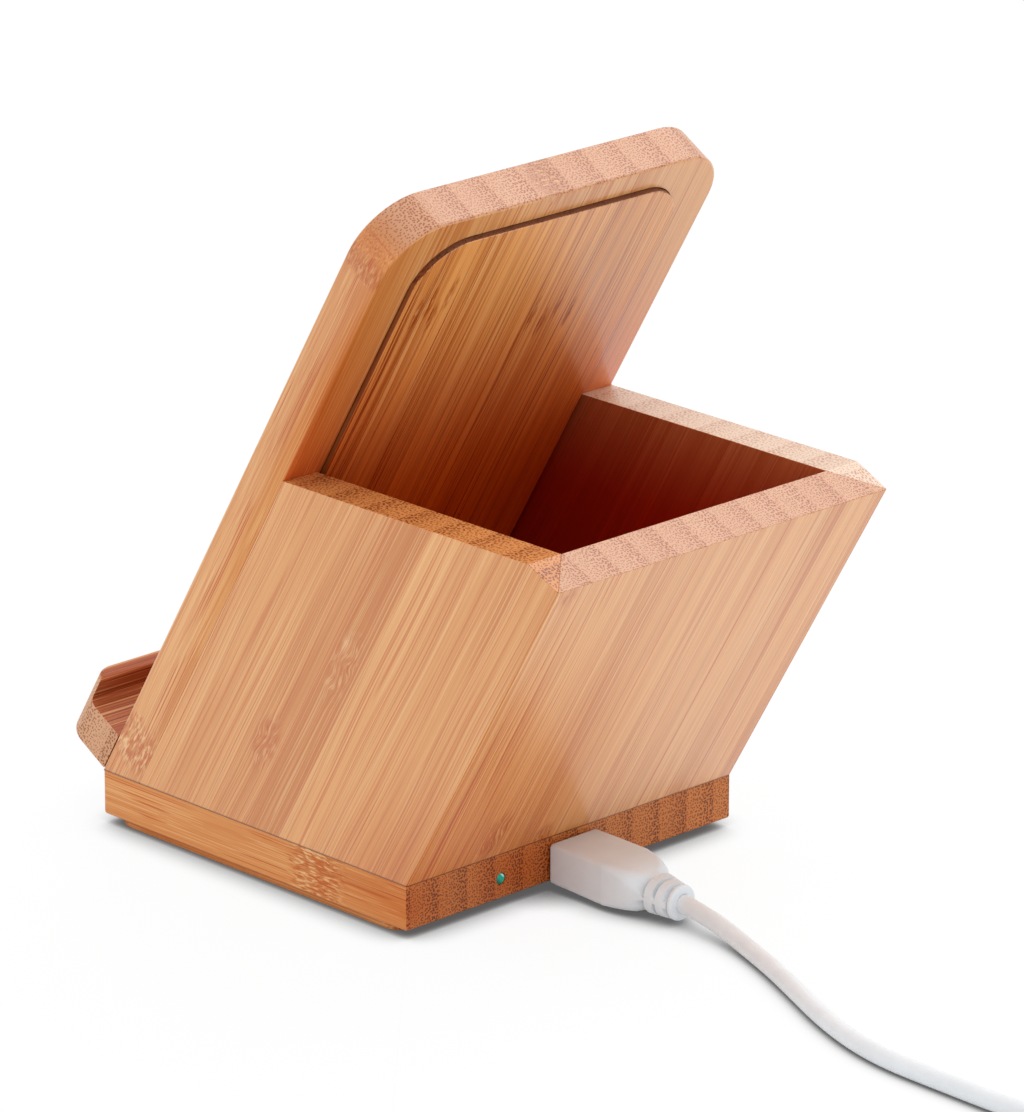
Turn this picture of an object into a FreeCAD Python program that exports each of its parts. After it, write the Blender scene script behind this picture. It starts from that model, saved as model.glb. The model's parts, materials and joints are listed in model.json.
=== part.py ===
import FreeCAD, Part
import math
import os

from FreeCAD import Vector

# A leaning bamboo pen box on a square base. Its tall front board charges a phone that stands on the ledge at its foot.
# Frame: origin at the centre of the underside, +Z up, the phone's side towards -Y, the pen box and the lead towards +Y.
# Millimetres and degrees.

# Boards
width = 80.0
base_depth = 80.0
base_thickness = 8.3
bottom_cover_thickness = 1.7
bottom_cover_side_inset = 1.5
bottom_cover_front_inset = 1.8
bottom_cover_back_inset = 3.3
bottom_cover_corner_radius = 4.0
lean = 30.5
panel_thickness = 8.6
panel_length = 140.8
panel_corner_radius = 11.2
side_wall_thickness = 7.8
back_wall_thickness = 8.0
wall_height = 66.6
back_rim_fall = 25.0
board_arris = 0.5
base_front_rounding = 0.9
base_back_rounding = 0.3
joint_arris = 0.12
cut_overrun = 1.0
same_place = 1e-4

# Recess in the panel's back, with the cover that stands proud of it and the coil's chamber below
recess_side_margin = 8.8
recess_top_margin = 5.0
recess_foot_margin = 18.0
recess_corner_radius = 10.0
recess_depth = 2.0
recess_arris = 0.12
inlay_gap = 0.1
cover_board_thickness = 3.0
cover_arris = 0.25
chamber_width = 53.0
chamber_foot_margin = 5.0
chamber_head_room = 26.5
front_skin = 3.8

# Phone ledge, measured square to the panel and up its slope
ledge_reach = 12.0
ledge_foot_gap = 0.2
ledge_floor = 9.1
ledge_lip_top = 14.0
ledge_lip_thickness = 2.9
ledge_corner_radius = 5.0
ledge_root_radius = 0.9
ledge_arris = 0.7

# Charging coil, its shield and its leads
coil_height = 76.0
coil_wire = 1.0
coil_pitch = 1.5
coil_inner_radius = 8.0
coil_whole_turns = 9
coil_float = 0.05
shield_size = 51.0
shield_thickness = 1.2
shield_gap = 0.05
shield_slot_clearance = 0.4
lead_spacing = 1.6
lead_hole = 4.2
lead_passage = 3.0
lead_drop_inset = 5.0
lead_crossing = 2.5
lead_channel_width = 4.6
lead_channel_height = 4.0

# Circuit board and what it carries
socket_drop = 4.75
circuit_board_width = 44.0
circuit_board_depth = 26.0
circuit_board_thickness = 1.0
circuit_board_offset = 3.0
circuit_board_clearance = 0.3
board_seat_width = 5.0
pocket_wall = 4.0
pocket_height = 5.4
chip_size = 5.0
chip_thickness = 0.9
inductor_size = 6.5
inductor_height = 3.0
inductor_corner = 1.1
capacitor_length = 3.2
capacitor_width = 2.5
capacitor_height = 1.8
capacitor_count = 4
capacitor_spacing = 4.4
socket_inner_width = 7.05
socket_inner_height = 2.0
socket_wall = 0.3
socket_depth = 5.4
socket_recess = 0.7
port_clearance = 0.3
tongue_width = 3.7
tongue_thickness = 0.55
tongue_reach = 3.6
led_offset = 17.2
led_drop = 4.6
led_hole = 2.3
led_window_clearance = 0.05
led_window_recess = 0.2
led_window_dome = 0.3
led_body_size = 2.6
led_body_depth = 1.8

# Screws and dowels
screw_shank = 2.2
screw_head = 4.2
screw_head_height = 1.3
screw_drive_width = 2.1
screw_drive_slot = 0.55
screw_drive_depth = 0.65
cover_screw_length = 7.0
cover_screw_inset = 6.0
panel_screw_length = 13.0
panel_screw_spacing = 30.0
panel_screw_inset = 7.0
wall_screw_length = 16.0
wall_screw_front = -10.0
wall_screw_back = 14.0
board_screw_shank = 1.8
board_screw_head = 3.4
board_screw_head_height = 0.7
board_screw_grip = 2.8
dowel_diameter = 3.0
dowel_in_panel = 4.2
dowel_in_ledge = 7.0
dowel_spacing = 50.0

# Charging lead, plug at the holder's end
plug_gap = 0.3
plug_width = 11.9
plug_height = 7.5
plug_straight = 13.2
plug_taper = 7.9
plug_swell = 0.4
plug_sag = 0.35
plug_corner = 1.0
plug_end_corner = 1.5
plug_shoulder_width = 10.9
plug_shoulder_height = 7.65
plug_shoulder_corner = 2.2
plug_shoulder_sag = 0.5
plug_neck_width = 8.4
plug_neck_height = 6.8
plug_neck_corner = 3.1
plug_neck_sag = 0.9
relief_length = 5.2
relief_collar = 1.2
relief_collar_rounding = 0.5
relief_diameter = 6.5
relief_roundness = 0.48
relief_sag = 1.2
relief_slots = 3
relief_slot_width = 0.9
relief_web = 1.8
relief_core_wall = 0.7
plug_shell_stop = 0.3
plug_shell_clearance = 0.1
plug_shell_wall = 0.25
plug_shell_chamfer = 0.72
plug_insert_thickness = 0.4

# Charging lead, cord
cord_diameter = 3.3
cord_floor_gap = 0.05
arc_share = 0.45
turn_gap = 0.5
coil_layer_turns = 3.625
coil_mean_radius = 18.4
coil_start_x = 22.0
coil_centre_y = 202.0
tie_width = 9.0
tie_thickness = 0.6
tie_clearance = 0.15
tie_tab = 7.0
tie_tab_inset = 1.8
tie_tab_rounding = 0.2
tie_bend_radius = 0.72
tie_turn = 0.5

# Charging lead, plug at the supply's end
wall_plug_width = 15.6
wall_plug_height = 8.0
wall_plug_length = 22.0
wall_plug_corner = 1.6
wall_plug_taper = 4.0
wall_relief_length = 8.0
wall_relief_diameter = 6.4
wall_relief_width = 7.6
wall_relief_tip = 5.8
wall_shell_width = 12.0
wall_shell_height = 4.5
wall_shell_reach = 18.7
wall_shell_wall = 0.35
wall_window_size = 2.45
wall_window_spacing = 5.4
wall_window_reach = 11.2
wall_insert_thickness = 1.9

# Places that follow from the sizes
half_width = width / 2
front_y = -base_depth / 2
back_y = base_depth / 2
base_bottom = bottom_cover_thickness
base_top = base_bottom + base_thickness
lean_sin = math.sin(math.radians(lean))
lean_cos = math.cos(math.radians(lean))
box_outer = base_depth * lean_cos
box_inner = box_outer - back_wall_thickness
fold_slope = (wall_height + box_inner * lean_sin) / lean_cos
rim_slope = (wall_height + panel_thickness * lean_sin) / lean_cos
recess_half = half_width - recess_side_margin
recess_top = panel_length - recess_top_margin
cover_seat = panel_thickness - recess_depth
cover_face = cover_seat + cover_board_thickness
chamber_foot = recess_foot_margin + chamber_foot_margin
shield_foot = coil_height - shield_size / 2
coil_depth = front_skin + coil_float + coil_wire / 2
shield_front = front_skin + coil_float + coil_wire + shield_gap
socket_z = base_top - socket_drop
board_top = socket_z - socket_inner_height / 2 - socket_wall
board_bottom = board_top - circuit_board_thickness
board_back = back_y - pocket_wall - circuit_board_clearance
board_front = board_back - circuit_board_depth
board_left = circuit_board_offset - circuit_board_width / 2
board_right = circuit_board_offset + circuit_board_width / 2
socket_mouth = back_y - socket_recess
socket_end = socket_mouth - socket_depth + socket_wall
plug_front = back_y + plug_gap
plug_tip = socket_end + socket_wall + plug_shell_stop
plug_straight_end = plug_front + plug_straight
plug_neck_end = plug_straight_end + plug_taper
relief_end = plug_neck_end + relief_length
collar_end = relief_end + relief_collar
cord_radius = cord_diameter / 2
cord_floor_z = cord_radius + cord_floor_gap
cord_exit_z = socket_z - relief_sag
turn_pitch = cord_diameter + turn_gap
coil_outer_radius = coil_mean_radius + coil_layer_turns * turn_pitch / 2
coil_centre = Vector(coil_start_x + coil_outer_radius, coil_centre_y, 0)
lower_layer_z = cord_radius + tie_thickness + tie_clearance
upper_layer_z = lower_layer_z + turn_pitch
far_beyond = 4 * (width + base_depth)


def box(x0, x1, y0, y1, z0, z1):
    return Part.makeBox(x1 - x0, y1 - y0, z1 - z0, Vector(x0, y0, z0))


def cylinder(radius, start, along, length):
    return Part.makeCylinder(radius, length, start, along)


def lean_point(across, inwards, up_slope):
    """A place given across the panel, inwards from its front face and up its slope."""
    y = front_y + inwards * lean_cos + up_slope * lean_sin
    z = base_top - inwards * lean_sin + up_slope * lean_cos
    return Vector(across, y, z)


def on_lean(shape):
    """Turns a shape drawn upright, with its front face at Y zero, onto the panel's slope."""
    placed = shape.copy()
    placed.rotate(Vector(0, 0, 0), Vector(1, 0, 0), -lean)
    placed.translate(Vector(0, front_y, base_top))
    return placed


def prism(corners, rise):
    """A polygon in X and Y, drawn at the start height, pulled up by rise."""
    outline = Part.makePolygon(corners + [corners[0]])
    return Part.Face(outline).extrude(Vector(0, 0, rise))


def below_base_top():
    return box(-far_beyond, far_beyond, -far_beyond, far_beyond, base_top - far_beyond, base_top)


def above_plane(y, z, fall):
    """All that is above a plane through (y, z) that falls towards +Y."""
    space = box(-far_beyond, far_beyond, -far_beyond, far_beyond, 0, far_beyond)
    space.rotate(Vector(0, 0, 0), Vector(1, 0, 0), -fall)
    space.translate(Vector(0, y, z))
    return space


def edges_along(shape, direction):
    """Straight edges that run along a direction."""
    found = []
    for edge in shape.Edges:
        if isinstance(edge.Curve, Part.Line) and abs(edge.tangentAt(edge.FirstParameter).dot(direction)) > 0.999:
            found.append(edge)
    return found


def edges_at(shape, axis, value):
    """Edges that lie in the plane where one coordinate has a value."""
    found = []
    for edge in shape.Edges:
        low, high = edge.BoundBox.getPoint(0)[axis], edge.BoundBox.getPoint(6)[axis]
        if abs(low - value) < same_place and abs(high - value) < same_place:
            found.append(edge)
    return found


def rounded_block(x0, x1, y0, y1, z0, z1, radius, direction):
    """A block whose edges along one direction are rounded."""
    block = box(x0, x1, y0, y1, z0, z1)
    return block.makeFillet(radius, edges_along(block, direction))


def base_board():
    board = box(-half_width, half_width, front_y, back_y, base_bottom, base_top)
    uprights = edges_along(board, Vector(0, 0, 1))
    board = board.makeFillet(base_front_rounding, [e for e in uprights if e.Vertexes[0].Y < 0])
    uprights = edges_along(board, Vector(0, 0, 1))
    board = board.makeFillet(base_back_rounding, [e for e in uprights if abs(e.Vertexes[0].Y - back_y) < same_place])
    board = board.makeFillet(board_arris, edges_at(board, 2, base_bottom))
    board = board.makeFillet(joint_arris, edges_at(board, 2, base_top))
    gap = circuit_board_clearance
    below = base_bottom - cut_overrun
    seat = box(board_left - gap, board_right + gap, board_front - gap, back_y - pocket_wall, below, board_top)
    room = box(board_left + board_seat_width, board_right - board_seat_width, board_front - gap,
               back_y - pocket_wall, below, base_bottom + pocket_height)
    port_half = socket_inner_width / 2 + socket_wall + port_clearance
    port_rise = socket_inner_height / 2 + socket_wall + port_clearance
    inside = back_y - pocket_wall - cut_overrun
    port = box(-port_half, port_half, inside, back_y + cut_overrun, socket_z - port_rise, socket_z + port_rise)
    light = cylinder(led_hole / 2, Vector(led_offset, inside, base_top - led_drop), Vector(0, 1, 0),
                     pocket_wall + 2 * cut_overrun)
    drop_y = front_y + lead_drop_inset
    drop = cylinder(lead_hole / 2, Vector(0, drop_y, below), Vector(0, 0, 1), base_thickness + 2 * cut_overrun)
    channel = box(-lead_channel_width / 2, lead_channel_width / 2, drop_y, board_front, below,
                  base_bottom + lead_channel_height)
    cuts = [seat, room, port, light, drop, channel]
    for place in panel_screw_places():
        cuts.append(screw_hole(place, base_bottom, panel_screw_length))
    for place in wall_screw_places():
        cuts.append(screw_hole(place, base_bottom, wall_screw_length))
    for place in cover_screw_places():
        cuts.append(screw_hole(place, 0, cover_screw_length))
    for place in board_screw_places():
        cuts.append(cylinder(board_screw_shank / 2, Vector(place.x, place.y, below), Vector(0, 0, 1),
                             board_top - below + board_screw_grip))
    return board.cut(cuts)


def bottom_cover():
    plate = rounded_block(-half_width + bottom_cover_side_inset, half_width - bottom_cover_side_inset,
                          front_y + bottom_cover_front_inset, back_y - bottom_cover_back_inset,
                          0, bottom_cover_thickness, bottom_cover_corner_radius, Vector(0, 0, 1))
    plate = plate.makeFillet(joint_arris, edges_at(plate, 2, 0))
    return plate.cut([screw_hole(place, 0, cover_screw_length) for place in cover_screw_places()])


def panel_screw_places():
    y = front_y + panel_screw_inset
    return [Vector(-panel_screw_spacing / 2, y, 0), Vector(panel_screw_spacing / 2, y, 0)]


def wall_screw_places():
    x = half_width - side_wall_thickness / 2
    return [Vector(side * x, y, 0) for side in (-1, 1) for y in (wall_screw_front, wall_screw_back)]


def cover_screw_places():
    x = half_width - bottom_cover_side_inset - cover_screw_inset
    near = front_y + bottom_cover_front_inset + cover_screw_inset
    far = back_y - bottom_cover_back_inset - cover_screw_inset
    return [Vector(side * x, y, 0) for side in (-1, 1) for y in (near, far)]


def screw(place, foot_z, length):
    """A countersunk screw that points up, with its head's face at foot_z."""
    foot = Vector(place.x, place.y, foot_z)
    head = Part.makeCone(screw_head / 2, screw_shank / 2, screw_head_height, foot)
    shank = cylinder(screw_shank / 2, foot, Vector(0, 0, 1), length)
    drive = []
    for size_x, size_y in ((screw_drive_width, screw_drive_slot), (screw_drive_slot, screw_drive_width)):
        drive.append(box(foot.x - size_x / 2, foot.x + size_x / 2, foot.y - size_y / 2, foot.y + size_y / 2,
                         foot_z - cut_overrun, foot_z + screw_drive_depth))
    return head.fuse(shank).removeSplitter().cut(drive)


def screw_hole(place, foot_z, length):
    """The room that a screw takes, open at its head."""
    foot = Vector(place.x, place.y, foot_z)
    head = Part.makeCone(screw_head / 2, screw_shank / 2, screw_head_height, foot)
    shank = cylinder(screw_shank / 2, foot - Vector(0, 0, cut_overrun), Vector(0, 0, 1), length + cut_overrun)
    return head.fuse(shank)


def charging_panel():
    board = box(-half_width, half_width, 0, panel_thickness, -panel_thickness, panel_length)
    corners = [e for e in edges_along(board, Vector(0, 1, 0)) if e.Vertexes[0].Z > panel_length - same_place]
    board = board.makeFillet(panel_corner_radius, corners)
    board = board.makeFillet(board_arris, edges_at(board, 1, 0) + edges_at(board, 1, panel_thickness))
    glued = box(-half_width, half_width, panel_thickness - 2 * board_arris, panel_thickness, -panel_thickness, rim_slope)
    board = board.fuse(glued).removeSplitter()
    recess = rounded_block(-recess_half, recess_half, cover_seat, panel_thickness + cut_overrun, recess_foot_margin,
                           recess_top, recess_corner_radius, Vector(0, 1, 0))
    chamber = box(-chamber_width / 2, chamber_width / 2, front_skin, cover_seat + cut_overrun,
                  chamber_foot, coil_height + chamber_head_room)
    board = board.cut([recess, chamber])
    rim = [e for e in edges_at(board, 1, panel_thickness) if e.BoundBox.XMax < recess_half + same_place
           and e.BoundBox.XMin > -recess_half - same_place and e.BoundBox.ZMax < recess_top + same_place
           and e.BoundBox.ZMin > recess_foot_margin - same_place]
    board = on_lean(board.makeFillet(recess_arris, rim))
    board = board.cut(below_base_top())
    foot_hole = Vector(0, front_y + lead_drop_inset, base_top)
    pocket_end = lean_point(0, (front_skin + cover_seat) / 2, chamber_foot)
    run = pocket_end - foot_hole
    overrun = run.normalize() * lead_passage
    hole = cylinder(lead_passage / 2, foot_hole - overrun, run, (pocket_end - foot_hole).Length + 2 * lead_passage)
    cuts = [hole]
    for place in panel_screw_places():
        cuts.append(screw_hole(place, base_bottom, panel_screw_length))
    for place in dowel_places():
        cuts.append(dowel(place))
    return board.cut(cuts)


def coil_cover():
    gap = inlay_gap
    board = box(-recess_half + gap, recess_half - gap, cover_seat, cover_face, recess_foot_margin + gap,
                recess_top - gap)
    board = board.makeFillet(recess_corner_radius - gap, edges_along(board, Vector(0, 1, 0)))
    board = board.makeFillet(cover_arris, edges_at(board, 1, cover_face))
    return on_lean(board)


def wall_from_plan(corners):
    """A leaning board with a plan drawn square to the slope, its foot on the base and its top cut by the two rims."""
    low = -box_outer
    wall = on_lean(prism([Vector(x, y, low) for x, y in corners], far_beyond))
    fold = lean_point(0, box_inner, fold_slope)
    wall = wall.cut([below_base_top(), above_plane(fold.y, fold.z, 0), above_plane(fold.y, fold.z, back_rim_fall)])
    return wall.makeFillet(joint_arris, wall.Edges)


def side_wall(side):
    outer = side * half_width
    inner = side * (half_width - side_wall_thickness)
    wall = wall_from_plan([(outer, panel_thickness), (outer, box_outer), (inner, box_inner), (inner, panel_thickness)])
    holes = [screw_hole(p, base_bottom, wall_screw_length) for p in wall_screw_places() if p.x * side > 0]
    return wall.cut(holes)


def back_wall():
    inner = half_width - side_wall_thickness
    return wall_from_plan([(half_width, box_outer), (-half_width, box_outer), (-inner, box_inner), (inner, box_inner)])


def phone_ledge():
    lip_inner = -(ledge_reach - ledge_lip_thickness)
    profile = Part.makePolygon([
        Vector(-half_width, 0, ledge_foot_gap), Vector(-half_width, -ledge_reach, ledge_foot_gap),
        Vector(-half_width, -ledge_reach, ledge_lip_top), Vector(-half_width, lip_inner, ledge_lip_top),
        Vector(-half_width, lip_inner, ledge_floor), Vector(-half_width, 0, ledge_floor),
        Vector(-half_width, 0, ledge_foot_gap)])
    bar = Part.Face(profile).extrude(Vector(width, 0, 0))
    root = [e for e in edges_along(bar, Vector(1, 0, 0)) if abs(e.Vertexes[0].Y - lip_inner) < same_place
            and abs(e.Vertexes[0].Z - ledge_floor) < same_place]
    bar = bar.makeFillet(ledge_root_radius, root)
    outer = [e for e in edges_along(bar, Vector(0, 0, 1)) if abs(e.Vertexes[0].Y + ledge_reach) < same_place]
    bar = bar.makeFillet(ledge_corner_radius, outer)
    bar = bar.makeFillet(ledge_arris, edges_at(bar, 2, ledge_foot_gap) + edges_at(bar, 2, ledge_lip_top))
    return on_lean(bar).cut([dowel(place) for place in dowel_places()])


def dowel_places():
    middle = (ledge_foot_gap + ledge_floor) / 2
    return [(-dowel_spacing / 2, middle), (dowel_spacing / 2, middle)]


def dowel(place):
    across, up_slope = place
    peg = cylinder(dowel_diameter / 2, Vector(across, -dowel_in_ledge, up_slope), Vector(0, 1, 0),
                   dowel_in_ledge + dowel_in_panel)
    return on_lean(peg)


def arc_between(start, knee, end):
    """The arc that leaves start towards knee and reaches end from knee, where knee is equally far from both."""
    middle = (start + end) * 0.5
    rise = (knee - middle).Length
    if rise < same_place:
        return Part.LineSegment(start, end).toShape()
    reach = (knee - start).Length
    half_chord = (end - start).Length / 2
    radius = half_chord * reach / rise
    crown = radius * (1 - half_chord / reach)
    return Part.Arc(start, middle + (knee - middle) * (crown / rise), end).toShape()


def rounded_route(points):
    """Straight runs joined by arcs as large as the runs allow, with the arcs' radii."""
    edges = []
    radii = []
    place = points[0]
    for before, corner, after in zip(points, points[1:], points[2:]):
        arrive = corner - before
        leave = after - corner
        reach = arc_share * min(arrive.Length, leave.Length)
        half_turn = arrive.getAngle(leave) / 2
        radii.append(reach / math.tan(half_turn))
        start = corner - arrive * (reach / arrive.Length)
        end = corner + leave * (reach / leave.Length)
        edges.append(Part.LineSegment(place, start).toShape())
        edges.append(arc_between(start, corner, end))
        place = end
    edges.append(Part.LineSegment(place, points[-1]).toShape())
    return edges, radii


def swept_tube(edges, diameter):
    """A round tube along joined edges."""
    path = Part.Wire(edges)
    first = edges[0]
    start = first.valueAt(first.FirstParameter)
    heading = first.tangentAt(first.FirstParameter)
    ring = Part.Wire(Part.makeCircle(diameter / 2, start, heading))
    return path.makePipeShell([ring], True, False), path


def report_tube(name, tube, path, diameter):
    """Prints a tube's length and how its volume compares with section times length."""
    section = math.pi * diameter ** 2 / 4
    print(name, "length", round(path.Length, 2), "volume ratio", round(tube.Volume / (section * path.Length), 5))


def least_gap(path, diameter):
    """The least distance between the surfaces of parts of a tube that are not neighbours along it."""
    step = diameter / 4
    places = path.discretize(Number=int(path.Length / step))
    skip = int(3 * diameter / step)
    nearest = path.Length
    for index, place in enumerate(places):
        for other in places[index + skip:]:
            if abs(place.x - other.x) < nearest and abs(place.y - other.y) < nearest:
                nearest = min(nearest, place.distanceToPoint(other))
    return nearest - diameter


def coil_turns():
    """Flat two-centre spiral, drawn about the coil's centre: half circles that grow by half a pitch each."""
    edges = []
    for half in range(2 * coil_whole_turns + 1):
        radius = coil_inner_radius + half * coil_pitch / 2
        upper = half % 2 == 0
        centre = 0 if upper else coil_pitch / 2
        side = 1 if upper else -1
        start = Vector(centre + side * radius, coil_depth, coil_height)
        top = Vector(centre, coil_depth, coil_height + side * radius)
        end = Vector(centre - side * radius, coil_depth, coil_height)
        edges.append(Part.Arc(start, top, end).toShape())
    return edges


def charging_coil():
    tube, path = swept_tube(coil_turns(), coil_wire)
    report_tube("charging coil", tube, path, coil_wire)
    print("charging coil least gap", round(least_gap(path, coil_wire), 3))
    return on_lean(tube)


def ferrite_shield():
    half = shield_size / 2
    plate = box(-half, half, shield_front, shield_front + shield_thickness, shield_foot, coil_height + half)
    slot_half = coil_wire / 2 + shield_slot_clearance
    slot = box(coil_inner_radius - slot_half, coil_inner_radius + slot_half, shield_front - cut_overrun,
               shield_front + shield_thickness + cut_overrun, shield_foot - cut_overrun, coil_height + coil_wire)
    return on_lean(plate.cut(slot))


def coil_leads():
    behind = shield_front + coil_wire / 2 + shield_gap
    outer_x = -(coil_inner_radius + coil_whole_turns * coil_pitch)
    chamber_middle = (front_skin + cover_seat) / 2
    board_end = Vector(0, board_front + lead_drop_inset, board_top + coil_wire / 2)
    drop_y = front_y + lead_drop_inset
    drop_foot = Vector(0, drop_y, board_end.z)
    drop_head = Vector(0, drop_y, base_top)
    below_shield = shield_foot - (shield_foot - chamber_foot) / 3
    gathered = chamber_foot + (shield_foot - chamber_foot) / 3
    starts = {
        -1: [(outer_x, coil_depth, coil_height), (outer_x, coil_depth, shield_foot),
             (outer_x / 2, coil_depth, below_shield), (-lead_spacing / 2, chamber_middle, gathered)],
        1: [(coil_inner_radius, coil_depth, coil_height),
            (coil_inner_radius, coil_depth, coil_height - coil_wire),
            (coil_inner_radius, behind, coil_height - coil_wire - lead_crossing),
            (coil_inner_radius, behind, below_shield),
            (lead_spacing / 2, chamber_middle, gathered)],
    }
    wires = []
    for side, places in starts.items():
        aside = Vector(side * lead_spacing / 2, 0, 0)
        points = [lean_point(*place) for place in places]
        points += [lean_point(aside.x, chamber_middle, chamber_foot), drop_head + aside, drop_foot + aside,
                   board_end + aside]
        edges, _ = rounded_route(points)
        tube, path = swept_tube(edges, coil_wire)
        report_tube("coil lead", tube, path, coil_wire)
        wires.append(tube)
    return Part.makeCompound(wires)


def circuit_board():
    board = box(board_left, board_right, board_front, board_back, board_bottom, board_top)
    holes = [cylinder(board_screw_shank / 2, Vector(p.x, p.y, board_bottom - cut_overrun), Vector(0, 0, 1),
                      circuit_board_thickness + 2 * cut_overrun) for p in board_screw_places()]
    return board.cut(holes)


def board_screw_places():
    y = (board_front + board_back) / 2
    return [Vector(board_left + board_seat_width / 2, y, 0), Vector(board_right - board_seat_width / 2, y, 0)]


def board_screws():
    made = []
    for place in board_screw_places():
        foot = Vector(place.x, place.y, board_bottom - board_screw_head_height)
        head = cylinder(board_screw_head / 2, foot, Vector(0, 0, 1), board_screw_head_height)
        shank = cylinder(board_screw_shank / 2, foot, Vector(0, 0, 1),
                         board_screw_head_height + circuit_board_thickness + board_screw_grip)
        made.append(head.fuse(shank).removeSplitter())
    return Part.makeCompound(made)


def on_board(x, y, size_x, size_y, height):
    """A block that stands on the circuit board, centred at a place."""
    return box(x - size_x / 2, x + size_x / 2, y - size_y / 2, y + size_y / 2, board_top, board_top + height)


def control_chip():
    return on_board(circuit_board_offset, board_back - circuit_board_depth / 2, chip_size, chip_size, chip_thickness)


def power_inductor():
    x = board_left + board_seat_width + inductor_size
    return rounded_block(x - inductor_size / 2, x + inductor_size / 2,
                         board_back - circuit_board_depth / 2 - inductor_size / 2,
                         board_back - circuit_board_depth / 2 + inductor_size / 2,
                         board_top, board_top + inductor_height, inductor_corner, Vector(0, 0, 1))


def resonance_capacitors():
    x = board_right - board_seat_width - capacitor_length
    first = board_back - circuit_board_depth / 2 - (capacitor_count - 1) * capacitor_spacing / 2 - capacitor_width
    return Part.makeCompound([on_board(x, first + k * capacitor_spacing, capacitor_length, capacitor_width,
                                       capacitor_height) for k in range(capacitor_count)])


def status_led():
    back = back_y - pocket_wall - circuit_board_clearance
    z = base_top - led_drop
    return box(led_offset - led_body_size / 2, led_offset + led_body_size / 2, back - led_body_depth, back,
               board_top, z + led_body_size / 2)


def led_window():
    radius = led_hole / 2 - led_window_clearance
    z = base_top - led_drop
    start = back_y - pocket_wall
    rod = cylinder(radius, Vector(led_offset, start, z), Vector(0, 1, 0), pocket_wall - led_window_recess)
    tip = back_y - led_window_recess
    return rod.makeFillet(led_window_dome, edges_at(rod, 1, tip))


def usb_socket_shell():
    half = socket_inner_width / 2
    rise = socket_inner_height / 2
    w = socket_wall
    rear = socket_mouth - socket_depth
    outer = box(-half - w, half + w, rear, socket_mouth, socket_z - rise - w, socket_z + rise + w)
    outer = outer.makeFillet(w, edges_along(outer, Vector(0, 1, 0)))
    hollow = box(-half, half, socket_end, socket_mouth + cut_overrun, socket_z - rise, socket_z + rise)
    return outer.cut(hollow)


def usb_socket_tongue():
    half = socket_inner_width / 2
    rise = socket_inner_height / 2
    root = box(-half, half, socket_end, socket_end + socket_wall, socket_z - rise, socket_z + rise)
    tongue = box(-tongue_width / 2, tongue_width / 2, socket_end, socket_end + tongue_reach,
                 socket_z - tongue_thickness, socket_z)
    return root.fuse(tongue).removeSplitter()


def plug_shell_section(shrink, y):
    """Outline of the metal tip, with its two lower corners cut off, at a distance along the plug."""
    half = socket_inner_width / 2 - plug_shell_clearance - shrink
    rise = socket_inner_height / 2 - plug_shell_clearance - shrink
    cut = plug_shell_chamfer
    corners = [(-half, rise), (half, rise), (half, -rise + cut), (half - cut, -rise), (-half + cut, -rise),
               (-half, -rise + cut)]
    return [Vector(x, y, socket_z + z) for x, z in corners]


def plug_metal_shell():
    reach = plug_front - plug_tip
    outline = plug_shell_section(0, plug_tip)
    inner = plug_shell_section(plug_shell_wall, plug_tip - cut_overrun)
    outer = Part.Face(Part.makePolygon(outline + outline[:1])).extrude(Vector(0, reach, 0))
    hollow = Part.Face(Part.makePolygon(inner + inner[:1])).extrude(Vector(0, reach + 2 * cut_overrun, 0))
    return outer.cut(hollow)


def plug_insert():
    half = tongue_width / 2
    top = socket_z + socket_inner_height / 2 - plug_shell_clearance - plug_shell_wall
    return box(-half, half, plug_tip + plug_shell_wall, plug_front, top - plug_insert_thickness, top)


def plug_section(y, section_width, height, corner, sag):
    """Rounded outline across the plug's axis, lowered by the plug's sag."""
    block = box(-section_width / 2, section_width / 2, y, y + 1, -height / 2, height / 2)
    block = block.makeFillet(corner, edges_along(block, Vector(0, 1, 0)))
    face = [f for f in block.Faces if abs(f.BoundBox.YMax - y) < same_place][0]
    outline = face.OuterWire.copy()
    outline.translate(Vector(0, 0, socket_z - sag))
    return outline


def slotted_relief(body, start, length, axis_z, core_radius):
    """Cuts the slots of a strain relief from above and from below, down to its core."""
    pitch = (length - relief_slot_width) / (relief_slots - 1)
    slots = []
    for index in range(relief_slots):
        y = start + pitch * index
        for side in (-1, 1):
            near = axis_z + side * relief_web / 2
            far = axis_z + side * far_beyond
            slots.append(box(-far_beyond, far_beyond, y, y + relief_slot_width, min(near, far), max(near, far)))
    core = cylinder(core_radius, Vector(0, start - cut_overrun, axis_z), Vector(0, 1, 0), length + 2 * cut_overrun)
    return body.cut([slot.cut(core) for slot in slots])


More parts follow.
